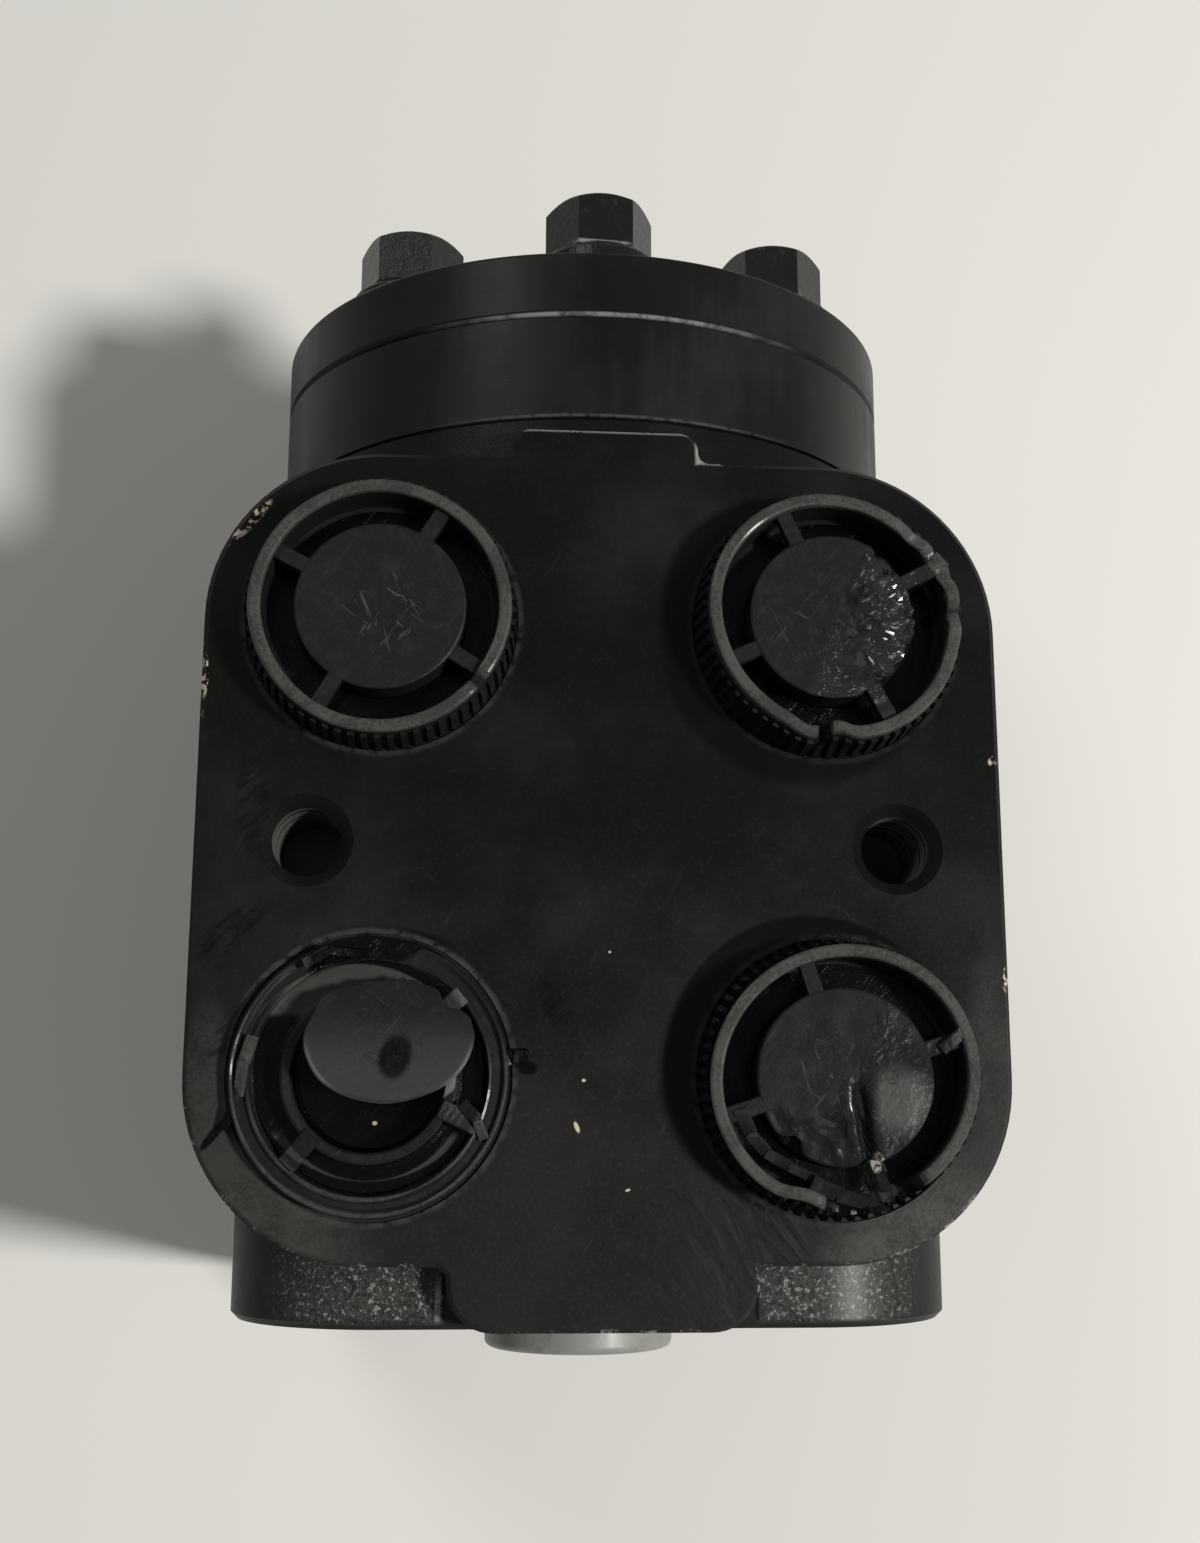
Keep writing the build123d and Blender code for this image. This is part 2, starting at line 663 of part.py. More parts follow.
# ---- Spool with the splined socket for the steering column ------------------------
with BuildPart() as spool:
    with BuildSketch(Plane.XY):
        with BuildLine():
            Polyline(
                (0, spool_neck_start), (spool_neck_radius, spool_neck_start),
                (spool_neck_radius, spool_start), (spool_radius, spool_start),
                (spool_radius, spool_end), (spool_bore_radius, spool_end),
                (spool_bore_radius, spool_bore_start), (0, spool_bore_start), close=True,
            )
        make_face()
    revolve(axis=Axis.Y)
    with BuildSketch(section(spool_neck_start)):
        Circle(socket_minor_radius)
        with PolarLocations(socket_major_radius / 2, spline_teeth):
            Rectangle(socket_major_radius, socket_groove_width)
    extrude(amount=-socket_depth, mode=Mode.SUBTRACT)
    with BuildSketch(Plane.YZ):
        with Locations((leaf_place, 0)):
            Rectangle(leaf_slot_width, 2 * leaf_slot_half)
    extrude(amount=spool_radius, both=True, mode=Mode.SUBTRACT)
    # The pin's holes are wide enough to let the spool turn against the sleeve.
    pin_swing = spool_radius * math.tan(math.radians(spool_turn))
    with BuildSketch(Plane.XY):
        with Locations((0, pin_place)):
            SlotOverall(2 * (pin_radius + side_gap + pin_swing), 2 * (pin_radius + side_gap))
    extrude(amount=spool_radius, both=True, mode=Mode.SUBTRACT)
    for index in range(spool_groove_count):
        angle = 2 * math.pi * (index + 0.5) / spool_groove_count
        outward = Vector(math.cos(angle), 0, math.sin(angle))
        floor = outward * (spool_radius - spool_groove_depth) + Vector(0, spool_groove_start, 0)
        with BuildSketch(Plane(origin=floor, x_dir=(0, 1, 0), z_dir=outward)):
            with Locations((spool_groove_length / 2, 0)):
                SlotOverall(spool_groove_length, spool_groove_width)
        extrude(amount=spool_groove_depth + spool_groove_width, mode=Mode.SUBTRACT)
    with BuildSketch(section(spool_waist_place)):
        Circle(spool_radius)
        Circle(spool_radius - spool_groove_depth, mode=Mode.SUBTRACT)
    extrude(amount=-oil_groove_width, mode=Mode.SUBTRACT)
save(spool.part, "spool")

with BuildPart() as cross_pin:
    with BuildSketch(Plane.XY):
        with Locations((0, pin_place)):
            Circle(pin_radius)
    extrude(amount=pin_half_length, both=True)
save(cross_pin.part, "cross_pin")

with BuildPart() as spring_ring:
    with BuildSketch(section(sleeve_start)):
        Circle(spring_ring_outer)
        Circle(spring_ring_inner, mode=Mode.SUBTRACT)
    extrude(amount=-(spring_ring_end - sleeve_start - running_fit))
save(spring_ring.part, "spring_ring")

# ---- Centring springs: two flat leaves between two pairs of arched ones -----------
with BuildPart() as flat_springs:
    with BuildSketch(section(leaf_place - leaf_width / 2)):
        for side in (1, -1):
            with Locations((0, side * (leaf_thickness + leaf_gap) / 2)):
                Rectangle(2 * leaf_half_length, leaf_thickness)
    extrude(amount=-leaf_width)
save(flat_springs.part, "flat_springs")

with BuildPart() as arched_springs:
    for side in (1, -1):
        for layer in (1, 2):
            inner = side * (layer * (leaf_thickness + leaf_gap) + leaf_gap / 2)
            outer = inner + side * leaf_thickness
            rise = side * leaf_sag
            with BuildSketch(section(leaf_place - leaf_width / 2)):
                with BuildLine():
                    ThreePointArc((-leaf_half_length, inner + rise), (0, inner), (leaf_half_length, inner + rise))
                    Line((leaf_half_length, inner + rise), (leaf_half_length, outer + rise))
                    ThreePointArc((leaf_half_length, outer + rise), (0, outer), (-leaf_half_length, outer + rise))
                    Line((-leaf_half_length, outer + rise), (-leaf_half_length, inner + rise))
                make_face()
            extrude(amount=-leaf_width)
save(arched_springs.part, "arched_springs")

# ---- Cardan shaft, leaning from the cross pin to the rotor's centre ---------------
cardan_axis = Vector(0, cardan_reach, eccentricity).normalized()
cardan_across = Plane(origin=(0, pin_place, 0), x_dir=(1, 0, 0), z_dir=cardan_axis)
head_start = cardan_length - cardan_head_length / 2
with BuildPart() as cardan_shaft:
    with BuildSketch(cardan_across.offset(-cardan_fork_overhang)):
        Circle(cardan_fork_radius)
    extrude(amount=cardan_fork_length)
    with BuildSketch(cardan_across):
        Circle(cardan_shank_radius)
    extrude(amount=head_start)
    with BuildSketch(cardan_across.offset(head_start)):
        Circle(spline_root_radius)
        with PolarLocations(spline_tip_radius / 2, spline_teeth):
            Rectangle(spline_tip_radius, spline_tooth_width)
    extrude(amount=cardan_head_length)
    with BuildSketch(cardan_across.offset(head_start)):
        Circle(spline_root_radius)
    extrude(amount=-cardan_neck_length, taper=math.degrees(math.atan2(
        spline_root_radius - cardan_shank_radius, cardan_neck_length)))
    # Fork: a slot across the tip takes the cross pin.
    slot_width = 2 * (pin_radius + side_gap)
    slot_floor = cardan_axis * cardan_slot_gap + Vector(0, pin_place, 0)
    with BuildSketch(cardan_across.offset(-cardan_fork_overhang)):
        Rectangle(slot_width, 2 * cardan_fork_radius)
    extrude(amount=cardan_fork_overhang + cardan_slot_gap, mode=Mode.SUBTRACT)
    with BuildSketch(Plane(origin=slot_floor, x_dir=(1, 0, 0), z_dir=cardan_across.y_dir)):
        Circle(slot_width / 2)
    extrude(amount=cardan_fork_radius, both=True, mode=Mode.SUBTRACT)
save(cardan_shaft.part, "cardan_shaft")


# ---- Shipping plugs ---------------------------------------------------------------
def port_plug(centre, spoke_angles, rim_height, disc_height, torn, gap):
    """A screwed plug: ribbed rim, floor, hollow stem and a disc held by four spokes."""
    stem_radius = port_thread_radius - thread_fit
    with BuildPart() as plug:
        with BuildSketch(Plane.XY.offset(plug_floor)):
            with Locations(centre):
                Circle(plug_rim_radius)
        extrude(amount=rim_height, taper=plug_rim_taper)
        if rim_height > plug_rib_height:
            with BuildSketch(Plane.XY.offset(plug_floor)):
                with Locations(centre):
                    with PolarLocations(plug_rim_radius, plug_rib_count):
                        Rectangle(2 * plug_rib_depth, plug_rib_width)
            extrude(amount=plug_rib_height)
        with BuildSketch(Plane.XY.offset(plug_floor + plug_floor_thickness)):
            with Locations(centre):
                Circle(plug_rim_radius - plug_rim_wall)
                Circle(plug_disc_radius, mode=Mode.SUBTRACT)
        extrude(amount=rim_height, mode=Mode.SUBTRACT)
        with BuildSketch(Plane.XY.offset(plug_floor + disc_height)):
            with Locations(centre):
                Circle(plug_disc_radius)
        extrude(amount=rim_height, mode=Mode.SUBTRACT)
        with BuildSketch(Plane.XY.offset(plug_floor)):
            with Locations(centre):
                Circle(stem_radius)
        extrude(amount=-plug_stem_length)
        cup_top = disc_height if torn else disc_height - plug_disc_thickness
        with BuildSketch(Plane.XY.offset(plug_floor + cup_top)):
            with Locations(centre):
                Circle(stem_radius - plug_stem_wall)
        extrude(amount=-(cup_top + plug_stem_length - plug_floor_thickness), mode=Mode.SUBTRACT)
        if gap:
            with BuildSketch(Plane.XY.offset(plug_floor + plug_floor_thickness)):
                with Locations(centre):
                    with BuildLine():
                        start = math.radians(rim_gap_start)
                        stop = math.radians(rim_gap_start + rim_gap_angle)
                        reach = 2 * plug_rim_radius
                        Polyline((0, 0), (reach * math.cos(start), reach * math.sin(start)),
                                 (reach * math.cos(stop), reach * math.sin(stop)), close=True)
                    make_face()
                    Circle(plug_disc_radius, mode=Mode.SUBTRACT)
            extrude(amount=rim_height, mode=Mode.SUBTRACT)
        for angle in spoke_angles:
            heading = Vector(math.cos(math.radians(angle)), math.sin(math.radians(angle)), 0)
            middle = (plug_disc_radius + plug_rim_radius - plug_rim_wall) / 2
            length = plug_rim_radius - plug_rim_wall - plug_disc_radius + plug_stem_wall
            foot = Vector(*centre, plug_floor + disc_height) + heading * middle
            with BuildSketch(Plane(origin=foot, x_dir=heading, z_dir=(0, 0, 1))):
                Rectangle(length, plug_spoke_width)
            extrude(amount=-plug_spoke_thickness)
        if torn:
            tilted = Plane(origin=(centre[0], centre[1] + torn_disc_shift, plug_floor + disc_height + torn_disc_lift),
                           x_dir=(1, 0, 0), z_dir=(0, math.sin(math.radians(torn_disc_tilt)),
                                                   math.cos(math.radians(torn_disc_tilt))))
            with BuildSketch(tilted):
                Circle(plug_disc_radius)
            extrude(amount=plug_disc_thickness, both=True)
    return plug.part


whole_disc_height = plug_rim_height - plug_disc_inset
save(port_plug(port_places["gear_left"], (59, 152, 240, 328), plug_rim_height,
               whole_disc_height, False, False), "plug_gear_left")
save(port_plug(port_places["gear_right"], (27, 115, 204, 298), plug_rim_height,
               whole_disc_height, False, False), "plug_gear_right")
save(port_plug(port_places["column_left"], (), broken_rim_height,
               broken_stem_height, True, False), "plug_column_left")
save(port_plug(port_places["column_right"], (18, 108, 198), plug_rim_height,
               whole_disc_height, False, True), "plug_column_right")

# White plug in the splined socket.
with BuildPart() as shaft_plug:
    head_end = spool_neck_start - side_gap
    with BuildSketch(section(-shaft_plug_head)):
        Circle(shaft_plug_radius)
    extrude(amount=-(shaft_plug_head + head_end))
    fillet(shaft_plug.edges().sort_by(Axis.Y)[0], shaft_plug_edge)
    with BuildSketch(section(head_end)):
        Circle(socket_minor_radius - thread_fit)
    extrude(amount=-shaft_plug_stem_length)
    with BuildSketch(section(-shaft_plug_head)):
        Circle(socket_minor_radius - thread_fit - shaft_plug_wall)
    extrude(amount=-(shaft_plug_head + head_end + shaft_plug_stem_length - shaft_plug_wall), mode=Mode.SUBTRACT)
save(shaft_plug.part, "shaft_plug")
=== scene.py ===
import bmesh
import bpy
import math
from mathutils import Euler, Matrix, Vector, noise


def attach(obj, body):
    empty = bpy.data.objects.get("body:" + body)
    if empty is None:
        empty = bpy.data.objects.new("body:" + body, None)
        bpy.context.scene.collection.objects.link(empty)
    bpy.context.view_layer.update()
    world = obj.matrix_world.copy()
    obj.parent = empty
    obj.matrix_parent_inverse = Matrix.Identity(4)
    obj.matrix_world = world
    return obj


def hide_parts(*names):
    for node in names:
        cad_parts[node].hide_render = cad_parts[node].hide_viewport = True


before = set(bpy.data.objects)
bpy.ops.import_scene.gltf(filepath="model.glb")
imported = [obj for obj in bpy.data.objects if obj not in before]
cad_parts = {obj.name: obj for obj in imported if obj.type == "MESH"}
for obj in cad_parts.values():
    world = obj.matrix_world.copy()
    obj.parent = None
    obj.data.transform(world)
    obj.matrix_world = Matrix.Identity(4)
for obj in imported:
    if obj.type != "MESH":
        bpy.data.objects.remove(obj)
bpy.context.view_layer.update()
print("frame loaded:", len(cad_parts), "nodes")

mm = 0.001  # the frame is in metres, every size below in mm
ports = {  # centres of the four ports on the top face
    "gearLeft": (-28.0, 85.9),
    "gearRight": (28.0, 85.9),
    "columnLeft": (-28.0, 29.5),
    "columnRight": (28.0, 29.5),
}
plugSeat = 47.65  # height at which the plugs sit in their spot faces


# trees of nodes, for materials and for geometry

class Wire:  # one output socket; plain sums on it add Math nodes
    def __init__(self, tree, socket):
        self.tree = tree
        self.socket = socket

    def out(self, name):
        return Wire(self.tree, self.socket.node.outputs[name])

    def __add__(self, other):
        return self.tree.maths("ADD", self, other)

    def __sub__(self, other):
        return self.tree.maths("SUBTRACT", self, other)

    def __rsub__(self, other):
        return self.tree.maths("SUBTRACT", other, self)

    def __mul__(self, other):
        return self.tree.maths("MULTIPLY", self, other)

    def __truediv__(self, other):
        return self.tree.maths("DIVIDE", self, other)

    def __abs__(self):
        return self.tree.maths("ABSOLUTE", self)

    __radd__ = __add__
    __rmul__ = __mul__


class Tree:  # adds nodes to one node tree
    def __init__(self, nodeTree):
        self.nodeTree = nodeTree

    def node(self, kind, settings=None, inputs=None, output=0):
        made = self.nodeTree.nodes.new(kind)
        for key, value in (settings or {}).items():
            setattr(made, key, value)
        for key, value in (inputs or {}).items():
            if isinstance(value, Wire):
                self.nodeTree.links.new(value.socket, made.inputs[key])
            else:
                made.inputs[key].default_value = value
        return Wire(self, made.outputs[output]) if made.outputs else made

    def maths(self, operation, *values):
        return self.node("ShaderNodeMath", {"operation": operation}, dict(enumerate(values)))

    def rise(self, value, low, high):  # 0 below low, 1 above high, smooth between
        return self.node("ShaderNodeMapRange", {"interpolation_type": "SMOOTHSTEP"},
                         {"Value": value, "From Min": low, "From Max": high})

    def fall(self, value, low, high):  # 1 below low, 0 above high
        return 1 - self.rise(value, low, high)

    def mix(self, share, first, second):
        return self.node("ShaderNodeMix", {"data_type": "RGBA"}, {0: share, 6: first, 7: second}, 2)

    def noise(self, scale, detail=3.0, roughness=0.5, turn=0.0, stretch=None, distortion=0.0):
        at = self.place
        if turn:
            at = self.node("ShaderNodeVectorRotate", {"rotation_type": "Z_AXIS"},
                           {"Vector": at, "Angle": turn})
        if stretch:
            at = self.node("ShaderNodeVectorMath", {"operation": "MULTIPLY"}, {0: at, 1: stretch})
        return self.node("ShaderNodeTexNoise", None,
                         {"Vector": at, "Scale": scale, "Detail": detail,
                          "Roughness": roughness, "Distortion": distortion})

    def away(self, centre):  # distance from a point of the top face
        across = self.x - centre[0]
        along = self.y - centre[1]
        return self.maths("SQRT", across * across + along * along)

    def ellipse(self, centre, radii, turn=0.0):  # 0 in a turned ellipse's middle, 1 on its edge
        across = self.x - centre[0]
        along = self.y - centre[1]
        first = (across * math.cos(turn) + along * math.sin(turn)) / radii[0]
        second = (along * math.cos(turn) - across * math.sin(turn)) / radii[1]
        return self.maths("SQRT", first * first + second * second)

    def spot(self, centre, radii, turn=0.0):  # 1 inside a small turned ellipse, 0 outside
        return self.fall(self.ellipse(centre, radii, turn), 0.7, 1.1)

    def spots(self, places):
        return self.most(*[self.spot(*place) for place in places])

    def folded(self, operation, values):
        result = values[0]
        for value in values[1:]:
            result = self.maths(operation, result, value)
        return result

    def most(self, *values):
        return self.folded("MAXIMUM", values)

    def least(self, *values):
        return self.folded("MINIMUM", values)


def grey(level, warm=0.0):
    return (level * (1 + warm), level, level * (1 - 2 * warm), 1.0)


def startMaterial(name):
    material = bpy.data.materials.new(name)
    material.use_nodes = True
    material.node_tree.nodes.clear()
    tree = Tree(material.node_tree)
    tree.material = material
    coordinates = tree.node("ShaderNodeTexCoord", output="Object")
    tree.place = tree.node("ShaderNodeVectorMath", {"operation": "SCALE"},
                           {0: coordinates, "Scale": 1 / mm})
    parts = tree.node("ShaderNodeSeparateXYZ", None, {0: tree.place}, "X")
    tree.x, tree.y, tree.z = parts, parts.out("Y"), parts.out("Z")
    return tree


def finishMaterial(tree, colour, roughness, height=None, depth=0.05, **fixed):
    inputs = {"Base Color": colour, "Roughness": roughness}
    inputs.update({key.replace("_", " "): value for key, value in fixed.items()})
    if height is not None:
        inputs["Normal"] = tree.node("ShaderNodeBump", None,
                                     {"Strength": 1.0, "Distance": depth * mm, "Height": height})
    shader = tree.node("ShaderNodeBsdfPrincipled", None, inputs)
    tree.node("ShaderNodeOutputMaterial", None, {"Surface": shader})
    return tree.material


# painted iron and steel

faceOutline = {  # middle and half sizes of the rounded block and of the tongues at its ends
    "block": (57.7, 28.0, 28.2), "corner": 22.0,
    "tongues": [(84.8, 12.0, 27.1), (28.0, 18.5, 28.0)],
}
# places are (centre), (half sizes), turn, and for the painted sheens a lightness
castLook = {
    "paint": grey(0.0042, 0.04),
    "dustAndSheen": grey(0.0175, 0.03),
    "worn": grey(0.24, 0.03),
    "gloss": 0.09,
    "scuffsAndHighlights": {"gearLeft": 0.45, "gearRight": 0.22, "columnLeft": 0.75, "columnRight": 0.3},
    "specks": [((-3.3, 23.6), (0.28, 0.75), 0.4), ((-2.5, 29.1), (0.26, 0.2), 0.0),
               ((2.8, 16.3), (0.34, 0.16), 0.3), ((0.6, 44.5), (0.18, 0.15), 0.0)],
    "chips": [((-44.9, 98.0), (4.0, 0.75), 0.86), ((-49.6, 78.0), (0.5, 3.0), 0.0),
              ((49.4, 69.1), (1.0, 0.7), 0.3), ((49.6, 41.5), (0.5, 1.6), 0.0)],
    "smears": [((-45.0, 46.5), (5.5, 2.0), 0.7), ((-38.5, 41.5), (6.0, 1.6), 0.8),
               ((-43.0, 36.6), (5.2, 1.5), 0.75), ((-45.2, 33.0), (2.4, 0.9), 0.5),
               ((-43.0, 62.0), (2.2, 8.0), 0.1), ((-5.5, 37.0), (1.6, 5.0), 0.5)],
    "oily": [((-26.4, 45.0), (8.6, 2.4), -0.05), ((-34.6, 42.6), (3.6, 1.3), 0.55),
             ((-9.4, 30.6), (1.5, 0.9), -0.2), ((-46.0, 22.6), (2.6, 0.6), 0.9)],
    "paintedSheens": [((39.0, 10.0), (15.0, 11.0), 0.5, 0.070), ((-40.0, 13.0), (15.0, 10.0), -0.6, 0.042),
               ((47.5, 30.0), (3.5, 17.0), 0.0, 0.034), ((-46.5, 27.0), (4.0, 12.0), 0.1, 0.036)],
    "holeAcross": 36.5, "holeRadius": 5.9,
}


def outlineDistance(tree):  # signed distance from the outline of the port face
    middle, halfWidth, halfLength = faceOutline["block"]
    across = abs(tree.x) - halfWidth
    along = abs(tree.y - middle) - halfLength
    outX, outY = tree.most(across, 0.0), tree.most(along, 0.0)
    inside = tree.least(tree.most(across, along), 0.0)
    block = tree.maths("SQRT", outX * outX + outY * outY) + inside - faceOutline["corner"]
    tongues = [tree.most(abs(tree.x) - halfWidth, abs(tree.y - middle) - halfLength)
               for middle, halfWidth, halfLength in faceOutline["tongues"]]
    return tree.least(block, *tongues)


def earMask(tree):  # the rough cast ears of the column flange
    across = abs(tree.x)
    ears = tree.fall(tree.y, 15.0, 16.5) * tree.rise(tree.y, 0.5, 1.3)
    ears = ears * tree.rise(across, 18.6, 19.2) * tree.fall(across, 33.0, 41.0)
    return ears * tree.rise(tree.z, 30.0, 38.0) * tree.fall(tree.z, 46.2, 46.8)


def castPaint():
    tree = startMaterial("castPaint")
    x, y, z = tree.x, tree.y, tree.z
    nearTop = tree.rise(z, 46.8, 47.4)
    onFace = tree.rise(z, 47.3, 47.9)
    # worn paint along the face's edge, most of all round the gear tongue
    broken = tree.noise(0.35, 4.0, 0.6)
    fine = tree.noise(2.4, 3.0, 0.6)
    edge = tree.fall(abs(outlineDistance(tree)), 0.12, 0.62) * nearTop
    onTongue = tree.rise(y, 107.0, 107.6) * tree.fall(abs(x - 2.2), 11.6, 14.4)
    towardsColumn = tree.fall(y, 10.0, 34.0)
    wearAt = 0.60 - 0.24 * onTongue - 0.08 * towardsColumn
    edgeWear = edge * tree.rise(broken * 0.6 + fine * 0.4, wearAt, wearAt + 0.09)
    # rings of scuffed paint round the ports, with a painted highlight along the spot faces' edges
    rings = []
    for name, amount in castLook["scuffsAndHighlights"].items():
        reach = tree.away(ports[name])
        ring = tree.rise(reach, 16.6, 16.9) * tree.fall(reach, 17.3, 17.9)
        rings.append(ring * tree.rise(tree.noise(0.5, 4.0, 0.65), 0.34, 0.58) * amount)
    scuffsAndHighlights = tree.most(*rings) * onFace
    ears = earMask(tree)
    grain = tree.noise(1.3, 4.0, 0.62)
    coarse = tree.noise(2.1, 3.0, 0.7, distortion=0.8)
    specks = tree.spots(castLook["specks"]) * onFace
    chips = tree.spots(castLook["chips"])
    chips = chips * tree.rise(tree.noise(1.0, 4.0, 0.7), 0.50, 0.54) * nearTop
    smears = tree.spots(castLook["smears"])
    strokes = tree.noise(0.5, 5.0, 0.65, turn=-0.7, stretch=(0.5, 2.4, 1.0))
    smears = smears * tree.rise(strokes, 0.42, 0.60) * onFace
    oily = tree.spots(castLook["oily"]) * tree.rise(z, 47.0, 47.3)
    oily = tree.most(oily * tree.rise(strokes * 0.5 + fine * 0.5, 0.32, 0.42), smears * 0.6)
    # dust lies towards the column end, in broad soft patches; the lightening there is also a painted
    # sheen standing in for reflected light
    cloud = tree.noise(0.045, 5.0, 0.6)
    dustAndSheenBand = tree.fall(y, 8.0, 70.0)
    dust = tree.rise(cloud + 0.28 * dustAndSheenBand, 0.42, 0.86)
    peppered = tree.rise(tree.noise(1.9, 5.0, 0.75), 0.52, 0.70) * (0.35 + 0.65 * dustAndSheenBand)
    scratches = tree.most(*[
        tree.rise(tree.noise(0.7, 3.0, 0.6, turn=turn, stretch=(3.0, 0.16, 1.0)), start, start + 0.05)
        for turn, start in ((0.5, 0.66), (-0.9, 0.67))])
    dust = tree.least(0.7 * dust + 0.75 * peppered, 1.0)
    colour = tree.mix(dust, castLook["paint"], castLook["dustAndSheen"])
    colour = tree.mix(scratches * (0.12 + 0.35 * dustAndSheenBand), colour, grey(0.030, 0.02))
    mottled = tree.rise(tree.noise(0.20, 5.0, 0.68) * 0.6 + fine * 0.4, 0.34, 0.62)
    # painted sheens: lighter patches on the lower corners and the right edge of the face stand in for
    # reflected light
    for middle, radii, turn, shade in castLook["paintedSheens"]:
        reach = tree.ellipse(middle, radii, turn)
        paintedSheen = tree.fall(reach * reach, 0.05, 1.3) * onFace
        colour = tree.mix(paintedSheen * (0.30 + 0.70 * mottled), colour, grey(shade, 0.03))
    # painted shadows: dark crescents to the left of the right plugs stand in for the shade they cast on
    # the face, and darken it with the oil
    paintedShadows = [tree.fall(tree.away((25.4, 31.0)), 17.8, 18.6),
             tree.fall(tree.away((25.2, 83.9)), 17.2, 19.2) * 0.8]
    oily = tree.most(oily, tree.most(*paintedShadows) * onFace * 0.9)
    colour = tree.mix(oily, colour, grey(0.0018))
    # the ears are coarse, with lighter grains and glints painted into their colour for sparkle
    lit = tree.rise(grain * 0.5 + coarse * 0.5, 0.36, 0.62)
    paintedSparkle = tree.rise(tree.noise(1.9, 3.0, 0.6), 0.56, 0.66)
    colour = tree.mix(ears * lit, colour, grey(0.060, 0.03))
    colour = tree.mix(ears * paintedSparkle, colour, grey(0.27, 0.01))
    # threads in the walls of the two tapped holes
    middle, edge = faceOutline["block"][0], castLook["holeRadius"]
    holes = [tree.fall(tree.away((side * castLook["holeAcross"], middle)), edge, edge + 0.2)
             for side in (-1, 1)]
    holes = tree.most(*holes) * tree.rise(z, 30.0, 31.0) * tree.fall(z, 46.3, 46.5)
    threads = tree.rise(tree.noise(1.0, 1.0, 0.5, stretch=(0.05, 0.05, 1.1)), 0.35, 0.6)
    colour = tree.mix(holes, colour, tree.mix(threads, grey(0.03, 0.04), grey(0.13, 0.04)))
    # painted highlight: a thin light line down the step at the left ear's inner edge
    stepHighlight = tree.fall(abs(x + 19.4), 0.2, 0.5) * tree.fall(y, 9.0, 12.0) * ears
    colour = tree.mix(stepHighlight * tree.rise(broken, 0.35, 0.55), colour, grey(0.26))
    colour = tree.mix(scuffsAndHighlights, colour, grey(0.050, 0.03))
    colour = tree.mix(edgeWear, colour, castLook["worn"])
    colour = tree.mix(tree.most(chips, specks), colour, (0.52, 0.47, 0.38, 1.0))
    roughness = 0.32 + 0.18 * dust - 0.14 * oily + 0.12 * scuffsAndHighlights
    roughness = roughness + 0.08 * (tree.noise(0.6, 3.0, 0.6) - 0.5) + 0.25 * ears
    wrinkles = tree.noise(0.20, 2.0, 0.5, turn=0.9, stretch=(0.5, 1.5, 1.0), distortion=1.6)
    wrinkled = tree.fall(tree.away((16.0, 9.0)), 6.0, 16.0) * onFace
    sides = 1 - onFace
    height = grain * (0.06 + 0.22 * sides + 2.6 * ears) + coarse * (0.12 * sides + 2.4 * ears)
    height = height + fine * 0.10 + wrinkles * wrinkled * 1.2 + tree.noise(0.12, 2.0, 0.5) * 0.8
    height = height + threads * holes * 1.5 - 0.4 * edgeWear
    return finishMaterial(tree, colour, roughness, height, 0.16, Coat_Weight=ears * 0.3,
                          Coat_Roughness=0.38, Specular_IOR_Level=castLook["gloss"])


turnedLook = {
    "paint": grey(0.0050, 0.04), "thin": grey(0.012, 0.04), "worn": grey(0.27, 0.01), "gloss": 0.14,
    "upperJoint": 129.4, "lowerJoint": 114.9,  # where the pieces of the gear set meet
}


def turnedPaint():  # smooth painted steel of the gear set
    tree = startMaterial("turnedPaint")
    radius = tree.maths("SQRT", tree.x * tree.x + tree.z * tree.z)
    lathe = tree.noise(1.0, 3.0, 0.6, stretch=(0.02, 6.0, 0.02))
    cloud = tree.noise(0.05, 5.0, 0.6)
    streak = tree.noise(0.10, 4.0, 0.6, stretch=(4.0, 0.35, 4.0))
    rubbed = tree.noise(0.9, 4.0, 0.65)
    # paint is worn through on the corners at the joints between the pieces; kept to the front, the
    # light line there is also a painted highlight on the chamfer
    joint = tree.fall(abs(tree.y - turnedLook["upperJoint"]), 0.10, 0.34)
    lower = tree.fall(abs(tree.y - turnedLook["lowerJoint"]), 0.15, 0.4) * 0.5
    rim = tree.rise(radius, 44.6, 45.2)
    front = tree.fall(abs(tree.x - 2.0), 8.0, 28.0) * tree.rise(tree.z, 25.0, 36.0)
    patchy = 0.25 + 0.75 * tree.rise(tree.noise(0.22, 4.0, 0.7), 0.36, 0.58)
    worn = joint * tree.rise(rubbed, 0.15, 0.34) * patchy + lower * 0.35 * tree.rise(rubbed, 0.30, 0.50)
    worn = worn * rim * front
    thin = tree.rise(cloud + 0.35 * streak, 0.55, 0.95)
    colour = tree.mix(thin, turnedLook["paint"], turnedLook["thin"])
    colour = tree.mix(worn, colour, turnedLook["worn"])
    roughness = 0.34 + 0.16 * thin + 0.08 * (streak - 0.5) + 0.1 * worn
    height = lathe * 0.25 + rubbed * 0.2 + cloud * 0.6
    return finishMaterial(tree, colour, roughness, height, 0.06, Specular_IOR_Level=turnedLook["gloss"])


